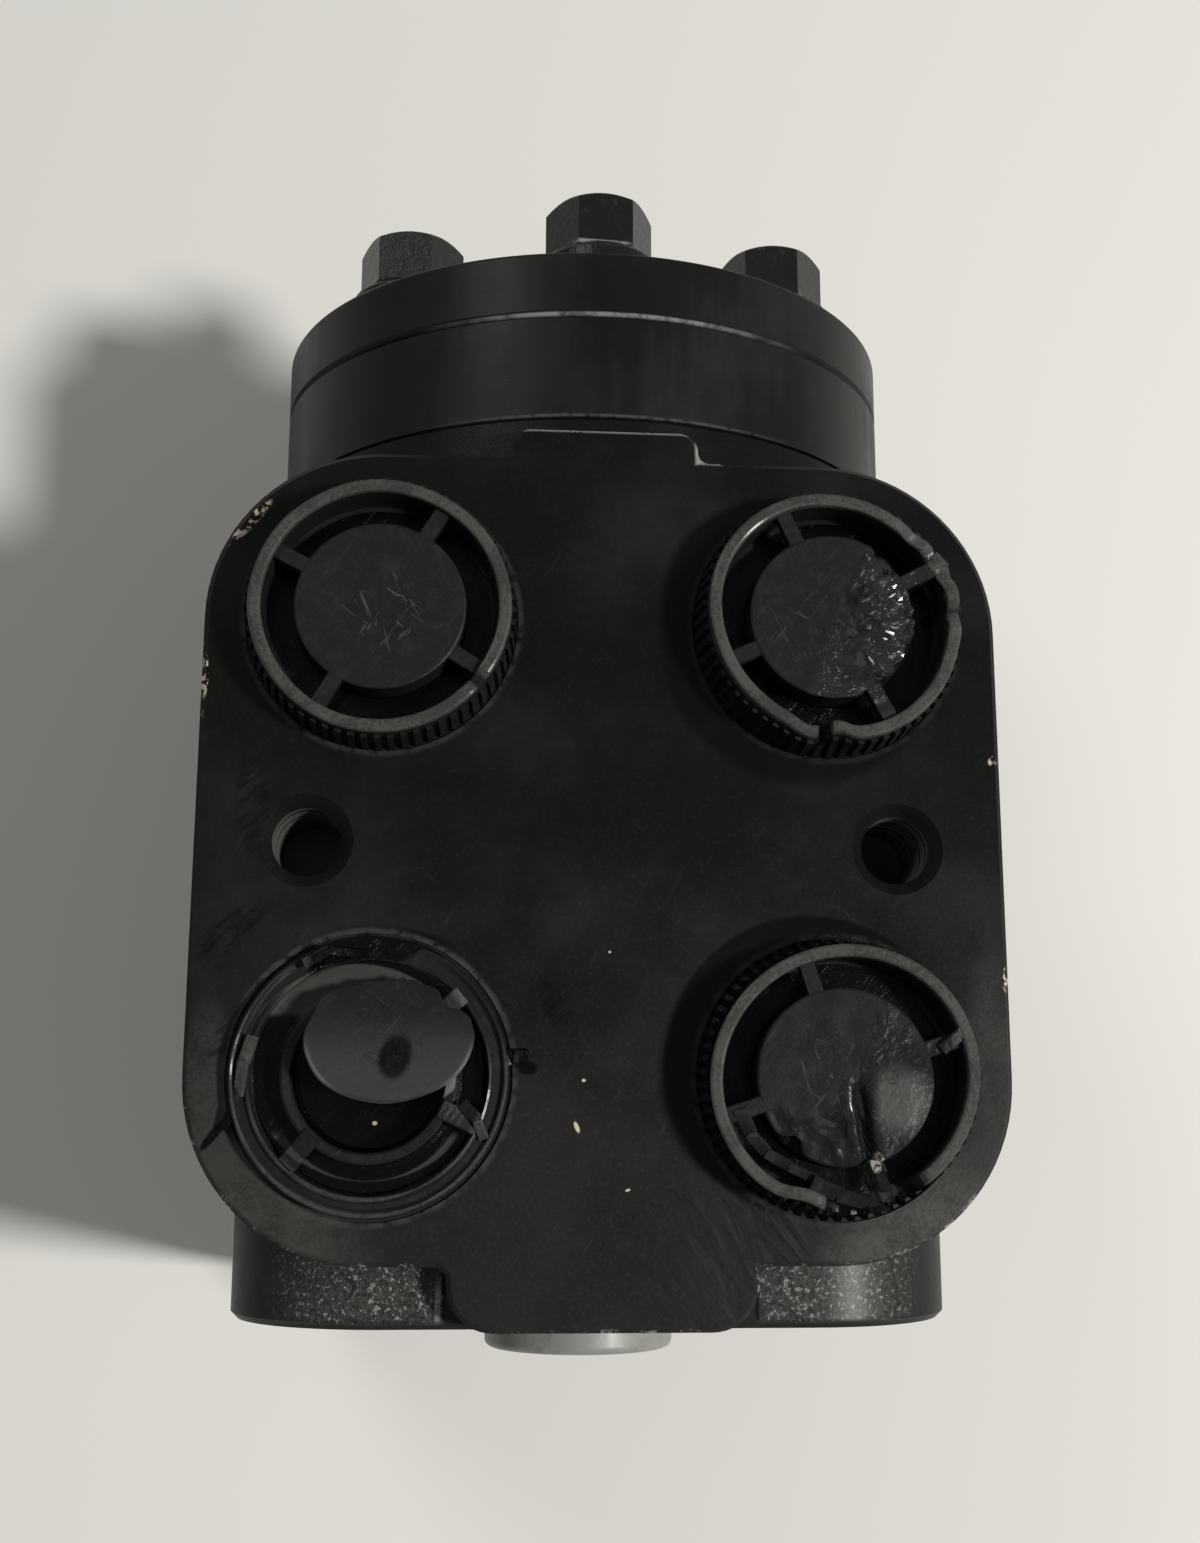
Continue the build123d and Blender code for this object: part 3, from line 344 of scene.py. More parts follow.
def screwPaint():  # glossier paint with rubbed corners
    tree = startMaterial("screwPaint")
    rubbed = tree.noise(0.7, 4.0, 0.65)
    fine = tree.noise(3.0, 3.0, 0.6)
    top = tree.rise(tree.y, 147.6, 149.0)
    worn = tree.rise(rubbed * 0.7 + fine * 0.3, 0.55, 0.68) * (0.25 + 0.5 * top)
    # painted highlight: a short light arc on the cone under the middle screw's head
    cone = tree.fall(abs(tree.y - 142.3), 0.2, 0.5) * tree.rise(tree.z, 38.0, 40.0)
    cone = cone * tree.fall(abs(tree.x), 2.5, 4.6)
    colour = tree.mix(worn, grey(0.006, 0.03), grey(0.050, 0.03))
    colour = tree.mix(cone * tree.rise(rubbed, 0.25, 0.45), colour, grey(0.22, 0.01))
    return finishMaterial(tree, colour, 0.26 + 0.3 * worn, fine * 0.5 + rubbed, 0.08,
                          Specular_IOR_Level=0.24)


def groundSteel(name, shade, roughness, scale):
    tree = startMaterial(name)
    lines = tree.noise(scale, 3.0, 0.6, stretch=(0.3, 5.0, 0.3))
    stains = tree.noise(0.12, 4.0, 0.6)
    pits = tree.rise(tree.noise(2.2, 4.0, 0.7), 0.66, 0.78)
    colour = tree.mix(tree.rise(stains, 0.45, 0.75), grey(shade, 0.01), grey(shade * 0.7, 0.05))
    colour = tree.mix(pits * 0.5, colour, grey(shade * 0.4))
    return finishMaterial(tree, colour, roughness + 0.15 * lines + 0.1 * stains,
                          lines * 0.4 - pits * 0.5, 0.03, Metallic=1.0)


def sealRubber():
    tree = startMaterial("sealRubber")
    bloom = tree.rise(tree.noise(0.4, 5.0, 0.65), 0.45, 0.75)
    skin = tree.noise(3.5, 3.0, 0.6)
    colour = tree.mix(bloom, grey(0.012), grey(0.035, 0.03))
    return finishMaterial(tree, colour, 0.55 + 0.15 * bloom, skin, 0.05, Specular_IOR_Level=0.35)


def shadedWhitePlastic():
    tree = startMaterial("shadedWhitePlastic")
    cloud = tree.noise(0.12, 4.0, 0.6)
    oil = tree.rise(tree.noise(0.3, 4.0, 0.65), 0.52, 0.75)
    rubs = tree.noise(1.4, 4.0, 0.65, stretch=(1.0, 0.3, 1.0))
    # painted shade: the off-white plastic is coloured darker, for the shade it sits in under the
    # housing
    colour = tree.mix(cloud, (0.21, 0.215, 0.20, 1.0), (0.28, 0.285, 0.27, 1.0))
    colour = tree.mix(oil * 0.5, colour, (0.11, 0.11, 0.10, 1.0))
    return finishMaterial(tree, colour, 0.38 + 0.2 * rubs, rubs + cloud, 0.05,
                          Coat_Weight=0.12, Coat_Roughness=0.30)


plasticLook = {
    # rim: lightness of its worn top, top: height of that; marks and scratched: where the disc is
    # scratched and how much; oil and oilFrom: how oily the disc is, and right of which line
    "gearLeft": {"rim": 0.060, "top": 6.6, "marks": (0.2, -1.0), "scratched": 1.0,
                 "oil": 0.15, "oilFrom": -20},
    "gearRight": {"rim": 0.062, "top": 6.3, "marks": (-2.5, -1.0), "scratched": 0.5,
                  "oil": 0.95, "oilFrom": 0.5},
    "columnLeft": {"rim": 0.050, "top": 2.45, "marks": (2.0, 5.0), "scratched": 0.4,
                   "oil": 0.15, "oilFrom": -20},
    "columnRight": {"rim": 0.060, "top": 6.5, "marks": (-1.0, 0.0), "scratched": 0.5,
                    "oil": 0.55, "oilFrom": 1.0},
}


def markColumnLeft(tree, colour, oilAndShade, up, reach, fine, cloud):
    # a black leaf of oil on the torn disc
    leaf = tree.spot((-24.8, 31.5), (2.1, 2.9), -0.25) * tree.rise(up, 2.8, 3.2)
    leaf = leaf * tree.rise(fine, 0.3, 0.4)
    colour = tree.mix(leaf, colour, grey(0.002))
    # painted light: two lit crescents on the floor of the cup, kept clear of the black
    litCrescent = tree.fall(tree.away((-28.0, 31.6)), 14.2, 14.5)
    litCrescent = litCrescent * tree.rise(tree.away((-28.0, 28.8)), 11.3, 11.6)
    litCrescent = litCrescent * tree.fall(tree.y, 22.0, 23.5) * tree.rise(up, 0.2, 0.4)
    upper = tree.fall(tree.away((-29.6, 28.8)), 13.8, 14.1)
    upper = upper * tree.rise(tree.away((-29.6, 25.6)), 12.6, 12.9)
    litCrescent = tree.most(litCrescent, upper * tree.rise(tree.y, 36.0, 37.0) * tree.fall(up, 1.3, 1.9))
    # the frayed outer edge and the gap where the rim is torn away are made black as well
    frayed = tree.rise(reach, 16.42, 16.5)
    tornAway = tree.rise(tree.y - 0.55 * tree.x, 56.2, 57.0) * tree.fall(tree.x, -19.5, -18.0)
    tornAway = tornAway * tree.rise(reach, 13.7, 14.0) * tree.rise(tree.x, -36.0, -35.0)
    oilAndShade = tree.most(oilAndShade * (1 - litCrescent), frayed, tornAway)
    colour = tree.mix(litCrescent, colour, grey(0.040, 0.03))
    # the disc is lighter towards its lower edge, which catches the light
    reached = tree.ellipse((-25.6, 33.9), (10.0, 8.2))
    onDisc = tree.rise(up, 2.8, 3.2) * tree.fall(reached, 1.04, 1.08) * (1 - leaf)
    lowerHalf = tree.fall(tree.y + 4.0 * cloud, 32.0, 40.0)
    colour = tree.mix(onDisc * lowerHalf * 0.7, colour, grey(0.055, 0.02))
    lowerEdge = tree.rise(reached, 0.92, 0.97) * tree.fall(tree.y, 30.0, 34.0)
    colour = tree.mix(onDisc * lowerEdge, colour, grey(0.15))
    # painted glint: a small warm spot of light on the oil in the cup
    drop = tree.spot((-27.3, 24.0), (0.35, 0.28)) * tree.fall(up, 1.0, 1.4)
    return tree.mix(drop, colour, (0.45, 0.40, 0.32, 1.0)), oilAndShade * (1 - drop)


def markColumnRight(tree, colour, oilAndShade, up, reach, fine, cloud):
    # painted shade: the rim's outer wall and its ribs are made black
    oilAndShade = tree.most(oilAndShade, tree.rise(reach, 15.0, 15.3) * tree.fall(up, 5.6, 6.2))
    # the bent lobe and a glint beside it catch the light
    lobe = tree.fall(tree.away((34.2, 26.6)), 2.0, 5.2) * tree.rise(up, 5.5, 5.8)
    lobe = lobe * tree.fall(reach, 10.3, 10.7) * tree.rise(tree.x, 31.0, 32.2)
    lobe = lobe * tree.rise(fine * 0.4 + cloud * 0.6, 0.34, 0.5)
    colour = tree.mix(lobe, colour, grey(0.075, 0.02))
    glint = tree.spot((31.6, 19.6), (0.7, 1.3), 0.2) * tree.rise(up, 3.0, 3.4)
    glint = glint * tree.rise(fine, 0.4, 0.5)
    return tree.mix(glint, colour, grey(0.30, 0.04)), oilAndShade


plugMarks = {"columnLeft": markColumnLeft, "columnRight": markColumnRight}


def plugPlastic(name):
    look = plasticLook[name]
    centre = ports[name]
    tree = startMaterial("blackPlastic." + name)
    reach = tree.away(centre)
    up = tree.z - plugSeat
    cloud = tree.noise(0.16, 4.0, 0.6)
    fine = tree.noise(2.2, 4.0, 0.65)
    strokes = [tree.noise(0.75, 4.0, 0.65, turn=turn, stretch=(2.2, 0.2, 1.0), distortion=1.0)
               for turn in (0.65, -0.35, 2.2)]
    middle = tree.away((centre[0] + look["marks"][0], centre[1] + look["marks"][1]))
    scratched = tree.fall(middle, 3.0, 6.5) * look["scratched"]
    scratches = tree.most(*[tree.rise(stroke, 0.59, 0.64) for stroke in strokes]) * (0.06 + scratched)
    rimTop = tree.rise(up, look["top"] - 0.35, look["top"]) * tree.rise(reach, 13.2, 14.0)
    onTop = tree.rise(up, look["top"] - 1.0, look["top"] - 0.7)
    rimWorn = rimTop * (0.45 + 0.8 * tree.rise(fine * 0.5 + cloud * 0.5, 0.42, 0.6))
    oil = tree.rise(cloud, 0.40, 0.54) * look["oil"] * onTop
    oiledSide = tree.x - centre[0] - 0.45 * (tree.y - centre[1]) + 2.5 * (cloud - 0.5)
    oil = oil * tree.rise(oiledSide, look["oilFrom"] - 1.0, look["oilFrom"] + 1.5)
    oil = oil * tree.fall(reach, 11.5, 12.5)
    # the hollows round and inside the stem are black: standing oil, and painted shade
    oilAndShade = tree.fall(up, 1.3, 1.9) * tree.fall(reach, 13.6, 13.9)
    dust = tree.rise(tree.noise(0.5, 5.0, 0.7), 0.45, 0.75) * onTop
    colour = tree.mix(dust * 0.8, grey(0.010, 0.02), grey(0.019, 0.03))
    colour = tree.mix(scratches * 0.6, colour, grey(0.085, 0.02))
    colour = tree.mix(tree.least(rimWorn, 1.0), colour, grey(look["rim"], 0.03))
    colour = tree.mix(oil * 0.7, colour, grey(0.005))
    if name in plugMarks:
        colour, oilAndShade = plugMarks[name](tree, colour, oilAndShade, up, reach, fine, cloud)
    colour = tree.mix(oilAndShade, colour, grey(0.0015))
    roughness = 0.46 + 0.14 * dust - 0.34 * oil + 0.1 * scratches - 0.26 * oilAndShade
    height = fine * 0.35 + cloud * 0.8 - scratches * 1.2
    height = height + oil * tree.noise(1.1, 2.0, 0.5) * 3.2
    return finishMaterial(tree, colour, roughness, height, 0.14, Specular_IOR_Level=0.10,
                          Coat_Weight=0.8 * oil + 0.12 * rimTop, Coat_Roughness=0.16)


slotMakers = {
    "cast_paint": castPaint,
    "steel_paint": turnedPaint,
    "screw_paint": screwPaint,
    "hardened_steel": lambda: groundSteel("hardenedSteel", 0.46, 0.22, 1.4),
    "spring_steel": lambda: groundSteel("springSteel", 0.30, 0.30, 2.2),
    "seal_rubber": sealRubber,
    "white_plastic": shadedWhitePlastic,
}
slotMaterials = {slotName: make() for slotName, make in slotMakers.items()}
plugMaterials = {name: plugPlastic(name) for name in ports}
print("materials made:", len(slotMaterials) + len(plugMaterials))

nodeSlots = {
    "cast_paint": ["housing"],
    "steel_paint": ["distributor_plate", "gear_ring", "end_cover", "screw_washers"],
    "screw_paint": ["cover_screws", "pin_screw"],
    "hardened_steel": ["gear_rotor", "rotor_spacer", "rolled_pin", "ball_stop", "check_ball",
                       "sleeve", "spool", "cross_pin", "cardan_shaft", "outer_race", "inner_race",
                       "thrust_needles"],
    "spring_steel": ["spring_ring", "flat_springs", "arched_springs", "needle_cage"],
    "seal_rubber": ["housing_o_ring", "plate_o_ring", "cover_o_ring", "dust_seal", "shaft_seal"],
    "white_plastic": ["shaft_plug"],
}
for slotName, nodeNames in nodeSlots.items():
    for nodeName in nodeNames:
        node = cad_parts[nodeName]
        node.data.materials.clear()
        node.data.materials.append(slotMaterials[slotName])
print("nodes dressed")


# meshes

def plainMesh(made, name):  # made mesh, in mm, to an object in metres at the origin
    bmesh.ops.scale(made, vec=(mm, mm, mm), verts=made.verts)
    mesh = bpy.data.meshes.new(name)
    made.to_mesh(mesh)
    made.free()
    thing = bpy.data.objects.new(name, mesh)
    bpy.context.scene.collection.objects.link(thing)
    return thing


def addSweep(made, profile, steps, shape):  # turns a profile about Z; radius 0 makes a pole
    rows = []
    for radius, level in profile:
        if radius == 0:
            rows.append([made.verts.new(shape(0.0, 0.0, level))])
        else:
            rows.append([made.verts.new(shape(radius, 2 * math.pi * step / steps, level))
                         for step in range(steps)])
    for upper, lower in zip(rows, rows[1:]):
        for step in range(steps):
            after = (step + 1) % steps
            corners = [upper[step % len(upper)], lower[step % len(lower)],
                       lower[after % len(lower)], upper[after % len(upper)]]
            made.faces.new(list(dict.fromkeys(corners)))


def addBar(made, start, end, width, thickness, rows=6, twist=0.0):
    # a flat bar with bevelled edges from start to end, thick downwards
    start, end = Vector(start), Vector(end)
    along = (end - start).normalized()
    side = Vector((0, 0, 1)).cross(along).normalized()
    edge = 0.12  # share of the bevel
    rings = []
    for row in range(rows + 1):
        share = row / rows
        centre = start.lerp(end, share)
        lean = twist * share
        across = side * math.cos(lean) + Vector((0, 0, 1)) * math.sin(lean)
        down = across.cross(along).normalized()
        ring = []
        for u, v in ((-1, edge), (-1 + edge, 0), (1 - edge, 0), (1, edge),
                     (1, 1 - edge), (1 - edge, 1), (-1 + edge, 1), (-1, 1 - edge)):
            ring.append(made.verts.new(centre + across * (u * width / 2) + down * (v * thickness)))
        rings.append(ring)
    for first, second in zip(rings, rings[1:]):
        for index in range(8):
            after = (index + 1) % 8
            made.faces.new([first[index], first[after], second[after], second[index]])
    made.faces.new(rings[0][::-1])
    made.faces.new(rings[-1])


def bump(value, middle, width):
    return math.exp(-((value - middle) / width) ** 2)


def turned(angle, other):  # difference of two angles in degrees, -180 to 180
    return (angle - other + 180) % 360 - 180


def rough(x, y, z, scale, seed=0.0):
    return noise.noise(Vector((x * scale + seed, y * scale - seed, z * scale)))


def roughRound(angle, scale, seed):  # the same along a rim, without a seam
    return rough(math.cos(angle), math.sin(angle), 0, scale, seed)


def below(value, edge, steepness):  # 1 well below the edge, 0 well above
    return 1 / (1 + math.exp((value - edge) * steepness))


def heading(degrees):
    return Vector((math.cos(math.radians(degrees)), math.sin(math.radians(degrees)), 0))


# geometry nodes: ribs round a plug, and screws round the cover

def geometryTree(name, inputs):
    group = bpy.data.node_groups.new(name, "GeometryNodeTree")
    identifiers = {}
    for label, kind in [("Geometry", "NodeSocketGeometry")] + inputs:
        socket = group.interface.new_socket(label, in_out="INPUT", socket_type=kind)
        identifiers[label] = socket.identifier
    group.interface.new_socket("Geometry", in_out="OUTPUT", socket_type="NodeSocketGeometry")
    return Tree(group), identifiers


def finishTree(tree, given, repeated):  # the instances made real and painted
    real = tree.node("GeometryNodeRealizeInstances", None, {0: repeated})
    painted = tree.node("GeometryNodeSetMaterial", None,
                        {"Geometry": real, "Material": given.out("Material")})
    tree.node("NodeGroupOutput", None, {0: painted})


def applyTree(thing, tree, identifiers, values):
    modifier = thing.modifiers.new("repeat", "NODES")
    modifier.node_group = tree.nodeTree
    for label, value in values.items():
        modifier[identifiers[label]] = value
    depsgraph = bpy.context.evaluated_depsgraph_get()
    mesh = bpy.data.meshes.new_from_object(thing.evaluated_get(depsgraph))
    thing.modifiers.clear()
    thing.data = mesh


def ribTree():
    tree, identifiers = geometryTree("ribsRoundARim", [
        ("Count", "NodeSocketInt"), ("Radius", "NodeSocketFloat"), ("Width", "NodeSocketFloat"),
        ("Depth", "NodeSocketFloat"), ("Height", "NodeSocketFloat"), ("Taper", "NodeSocketFloat"),
        ("Centre", "NodeSocketVector"), ("Material", "NodeSocketMaterial")])
    given = tree.node("NodeGroupInput", output="Geometry")
    count, radius = given.out("Count"), given.out("Radius")
    index = tree.node("GeometryNodeInputIndex")
    angle = index * (2 * math.pi) / count
    onCircle = tree.node("ShaderNodeCombineXYZ", None, {
        "X": radius * tree.maths("COSINE", angle), "Y": radius * tree.maths("SINE", angle),
        "Z": given.out("Height") / 2})
    place = tree.node("ShaderNodeVectorMath", {"operation": "ADD"},
                      {0: onCircle, 1: given.out("Centre")})
    points = tree.node("GeometryNodePoints", None, {"Count": count, "Position": place})
    size = tree.node("ShaderNodeCombineXYZ", None, {
        "X": given.out("Depth") * 2, "Y": given.out("Width"), "Z": given.out("Height")})
    rib = tree.node("GeometryNodeMeshCube", None, {"Size": size, "Vertices Z": 6}, "Mesh")
    lean = tree.node("ShaderNodeCombineXYZ", None, {"X": 0.0, "Y": 0 - given.out("Taper"), "Z": angle})
    ribs = tree.node("GeometryNodeInstanceOnPoints", None,
                     {"Points": points, "Instance": rib, "Rotation": lean})
    joined = tree.node("GeometryNodeJoinGeometry", None, {0: ribs})
    tree.nodeTree.links.new(given.socket, joined.socket.node.inputs[0])
    finishTree(tree, given, joined)
    return tree, identifiers


def screwTree():
    tree, identifiers = geometryTree("screwsRoundACover", [
        ("Count", "NodeSocketInt"), ("Radius", "NodeSocketFloat"), ("Seat", "NodeSocketFloat"),
        ("First Turn", "NodeSocketFloat"), ("Turn Step", "NodeSocketFloat"),
        ("Material", "NodeSocketMaterial")])
    given = tree.node("NodeGroupInput", output="Geometry")
    index = tree.node("GeometryNodeInputIndex")
    angle = index * (2 * math.pi) / given.out("Count")
    place = tree.node("ShaderNodeCombineXYZ", None, {
        "X": given.out("Radius") * tree.maths("SINE", angle), "Y": given.out("Seat"),
        "Z": given.out("Radius") * tree.maths("COSINE", angle)})
    points = tree.node("GeometryNodePoints", None, {"Count": given.out("Count"), "Position": place})
    spin = given.out("First Turn") + given.out("Turn Step") * index
    lean = tree.node("ShaderNodeCombineXYZ", None, {"Y": 0 - spin})
    screws = tree.node("GeometryNodeInstanceOnPoints", None,
                       {"Points": points, "Instance": given, "Rotation": lean})
    finishTree(tree, given, screws)
    return tree, identifiers


# cover screws: hexagon heads with a cone flange

screwSizes = {
    "count": 7, "circle": 33.86, "seat": 139.6, "firstTurn": 25.4, "turnStep": 12.0,
    "flats": 13.0, "flangeRadius": 8.4, "headTop": 10.4, "washedTop": 6.1,
    "shankRadius": 3.95, "shankLength": 42.6, "pinShankLength": 30.3, "pinIndex": 1, "cornerSteps": 8,
}


def makeScrews():
    size = screwSizes
    made = bmesh.new()
    steps = 6 * size["cornerSteps"]

    def hexagon(angle):
        corner = (angle + math.pi / 6) % (math.pi / 3) - math.pi / 6
        return size["flats"] / 2 / math.cos(corner)

    def ring(radiusAt, levelAt):
        row = []
        for step in range(steps):
            angle = 2 * math.pi * step / steps
            radius = radiusAt(angle)
            place = (radius * math.cos(angle), levelAt(radius), radius * math.sin(angle))
            row.append(made.verts.new(place))
        return row

    def scallop(radius):  # the turned chamfer dips at the corners
        return size["headTop"] - 0.1 - max(0.0, radius - size["washedTop"]) * 0.62

    rows = [
        ring(lambda angle: 3.6, lambda radius: size["headTop"] - 0.35),
        ring(lambda angle: 4.3, lambda radius: size["headTop"] - 0.3),
        ring(lambda angle: 4.6, lambda radius: size["headTop"]),
        ring(lambda angle: size["washedTop"] - 0.25, lambda radius: size["headTop"]),
        ring(lambda angle: size["washedTop"], lambda radius: size["headTop"] - 0.06),
        ring(lambda angle: hexagon(angle) - 0.12, scallop),
        ring(hexagon, lambda radius: scallop(radius) - 0.16),
        ring(hexagon, lambda radius: 3.4),
        ring(lambda angle: hexagon(angle) + 0.05, lambda radius: 2.95),
        ring(lambda angle: max(hexagon(angle) + 0.1, 7.1), lambda radius: 2.7),
        ring(lambda angle: size["flangeRadius"] - 0.14, lambda radius: 1.75),
        ring(lambda angle: size["flangeRadius"], lambda radius: 1.5),
        ring(lambda angle: size["flangeRadius"], lambda radius: 0.12),
        ring(lambda angle: size["flangeRadius"] - 0.15, lambda radius: 0.0),
        ring(lambda angle: size["shankRadius"], lambda radius: 0.0),
        ring(lambda angle: size["shankRadius"], lambda radius: -size["shankLength"] + 0.8),
        ring(lambda angle: size["shankRadius"] - 0.7, lambda radius: -size["shankLength"]),
    ]
    for upper, lower in zip(rows, rows[1:]):
        for step in range(steps):
            after = (step + 1) % steps
            made.faces.new([upper[step], upper[after], lower[after], lower[step]])
    made.faces.new(rows[0])
    made.faces.new(rows[-1])
    bmesh.ops.recalc_face_normals(made, faces=made.faces)
    screws = plainMesh(made, "coverScrews")
    tree, identifiers = screwTree()
    applyTree(screws, tree, identifiers, {
        "Count": size["count"], "Radius": size["circle"] * mm, "Seat": size["seat"] * mm,
        "First Turn": math.radians(size["firstTurn"]), "Turn Step": math.radians(size["turnStep"]),
        "Material": slotMaterials["screw_paint"]})
    # the screw over the check valve ends above the valve's stop
    pinAngle = 2 * math.pi * size["pinIndex"] / size["count"]
    pinX, pinZ = size["circle"] * math.sin(pinAngle), size["circle"] * math.cos(pinAngle)
    for vertex in screws.data.vertices:
        across = math.hypot(vertex.co.x / mm - pinX, vertex.co.z / mm - pinZ)
        if across < size["flangeRadius"] and vertex.co.y / mm < size["seat"] - size["pinShankLength"]:
            vertex.co.y += (size["shankLength"] - size["pinShankLength"]) * mm
    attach(screws, "housing")
    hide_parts("cover_screws", "pin_screw")


makeScrews()
print("screws placed")

# the four shipping plugs in the ports

plugSizes = {
    "steps": 168, "stemRadius": 10.38, "stemBore": 8.88, "stemDepth": 9.0,
    "discTop": 6.2, "rimRadius": 16.4, "rimTop": 7.0, "rimWall": 2.15, "taper": 4.0,
    "ribCount": 64, "ribWidth": 0.75, "ribDepth": 0.45, "ribHeight": 5.6,
    "spokeStart": 9.8, "spokeEnd": 14.6, "spokeWidth": 2.0, "spokeThickness": 1.4,
}
spokeAngles = {
    "gearLeft": (59, 152, 240, 328), "gearRight": (27, 115, 204, 298), "columnRight": (18, 108, 198),
}
brokenSpokes = {  # angle, reach, drop and twist of the spokes left on the open cup
    "start": 9.4, "height": 3.5, "width": 2.3, "thickness": 1.0,
    "spokes": [(41, 14.4, 0.4, 0.25), (336, 14.2, 0.9, -0.3), (228, 13.9, 0.8, 0.2)],
}
tornDisc = {
    "centre": (2.4, 4.4, 5.6), "radius": 10.0, "tilt": -0.42, "turn": 0.05, "squash": 0.82,
    "curl": 0.9, "seed": 3.0,
}
plugShreds = {  # path, width and thickness of each strip torn off a plug
    "columnLeft": [
        ([(-13.6, 4.5, 2.6), (-14.6, 1.5, 3.1), (-15.2, -2.5, 2.2), (-16.8, -6.4, 1.6)], 1.5, 0.6),
        ([(15.4, 1.6, 1.6), (17.0, 2.4, 1.5), (18.8, 2.3, 0.9)], 1.9, 0.8),
        ([(-8.0, 13.0, 2.4), (-5.0, 14.6, 2.6), (-1.0, 14.2, 1.9)], 1.3, 0.6),
        ([(11.0, -3.2, 3.2), (12.8, -5.2, 3.5), (13.6, -7.4, 2.6)], 1.4, 0.6)],
    "columnRight": [
        ([(-12.6, -3.8, 6.3), (-11.4, -6.6, 5.9), (-9.4, -8.8, 5.2), (-6.6, -10.4, 4.8),
          (-3.2, -12.0, 4.6)], 1.7, 0.6),
        ([(-4.0, -12.2, 5.4), (-1.0, -13.6, 5.2), (2.6, -14.6, 5.5), (4.6, -15.8, 5.9)], 1.9, 0.7),
        ([(3.2, -9.0, 5.6), (4.2, -11.2, 4.8), (4.6, -13.2, 5.2)], 1.6, 0.7),
        ([(11.6, 3.2, 6.5), (13.8, 4.8, 6.9), (14.6, 6.4, 6.6)], 1.4, 0.6)],
    "gearRight": [([(12.8, 8.4, 6.1), (14.0, 6.6, 6.5), (14.6, 4.2, 6.1)], 1.3, 0.6)],
}


def wholeProfile():
    size = plugSizes
    top, disc = size["rimTop"], size["discTop"]
    outer, inner = size["rimRadius"], size["rimRadius"] - size["rimWall"]
    profile = [(0, disc)]
    profile += [(0.6 * ring, disc) for ring in range(1, 17)]
    profile += [(10.2, disc), (10.42, disc - 0.12), (10.5, disc - 0.3), (10.5, disc - 1.0)]
    profile += [(10.38, disc - 1.2), (10.38, 3.2), (10.38, 1.5), (10.6, 1.2), (12.2, 1.2)]
    profile += [(inner - 0.25, 1.2), (inner, 1.45)]
    profile += [(inner + 0.05, level) for level in (2.4, 3.4, 4.4, 5.4, 6.2)]
    profile += [(inner + 0.08, top - 0.35), (inner + 0.2, top - 0.1), (inner + 0.45, top)]
    lean = math.tan(math.radians(size["taper"]))
    profile += [(outer - lean * top - 0.35, top), (outer - lean * top - 0.1, top - 0.12)]
    profile += [(outer - lean * level, level) for level in (6.6, 5.6, 4.6, 3.6, 2.6, 1.6, 0.6, 0.0)]
    profile += [(size["stemRadius"], 0.0), (size["stemRadius"], -size["stemDepth"])]
    profile += [(size["stemBore"], -size["stemDepth"]), (size["stemBore"], disc - 1.3), (0, disc - 1.3)]
    return profile


def brokenProfile():  # the rim is gone and the stem stands as an open cup
    profile = [(0, -1.4)] + [(1.4 * ring, -1.4) for ring in range(1, 6)]
    profile += [(8.4, -1.3), (8.88, -0.9), (8.9, 0.5), (8.92, 1.8), (8.95, 2.8), (9.2, 3.1)]
    profile += [(10.0, 3.15), (10.3, 2.9), (10.38, 1.6), (10.5, 0.6), (11.0, 0.5), (12.4, 0.5)]
    profile += [(13.5, 0.55), (13.85, 0.9), (13.9, 1.8), (13.98, 2.3), (14.15, 2.5), (14.4, 2.4)]
    profile += [(14.8, 2.0), (15.4, 1.95), (15.7, 2.2), (15.9, 2.5), (16.1, 2.6), (16.3, 2.45)]
    profile += [(16.4, 2.1), (16.4, 1.0), (16.4, 0.0)]
    profile += [(10.38, 0.0), (10.38, -9.0), (8.88, -9.0), (8.6, -2.0), (0, -2.0)]
    return profile


def shapeGearLeft(r, angle, z):
    deg = math.degrees(angle) % 360
    if r > 13.5 and z > 3:  # a small notch, and a slightly uneven rim
        z -= 1.0 * bump(turned(deg, 322), 0, 3.0) * (z - 3) / 4
        z += 0.12 * roughRound(angle, 2.5, 3.0)
        r += 0.15 * roughRound(angle, 1.5, 7.0) * z / 7
    elif r < 10.6 and z > 5.5:
        z += 0.10 * rough(r * math.cos(angle), r * math.sin(angle), 0, 0.3, 1.0)
    return r, angle, z


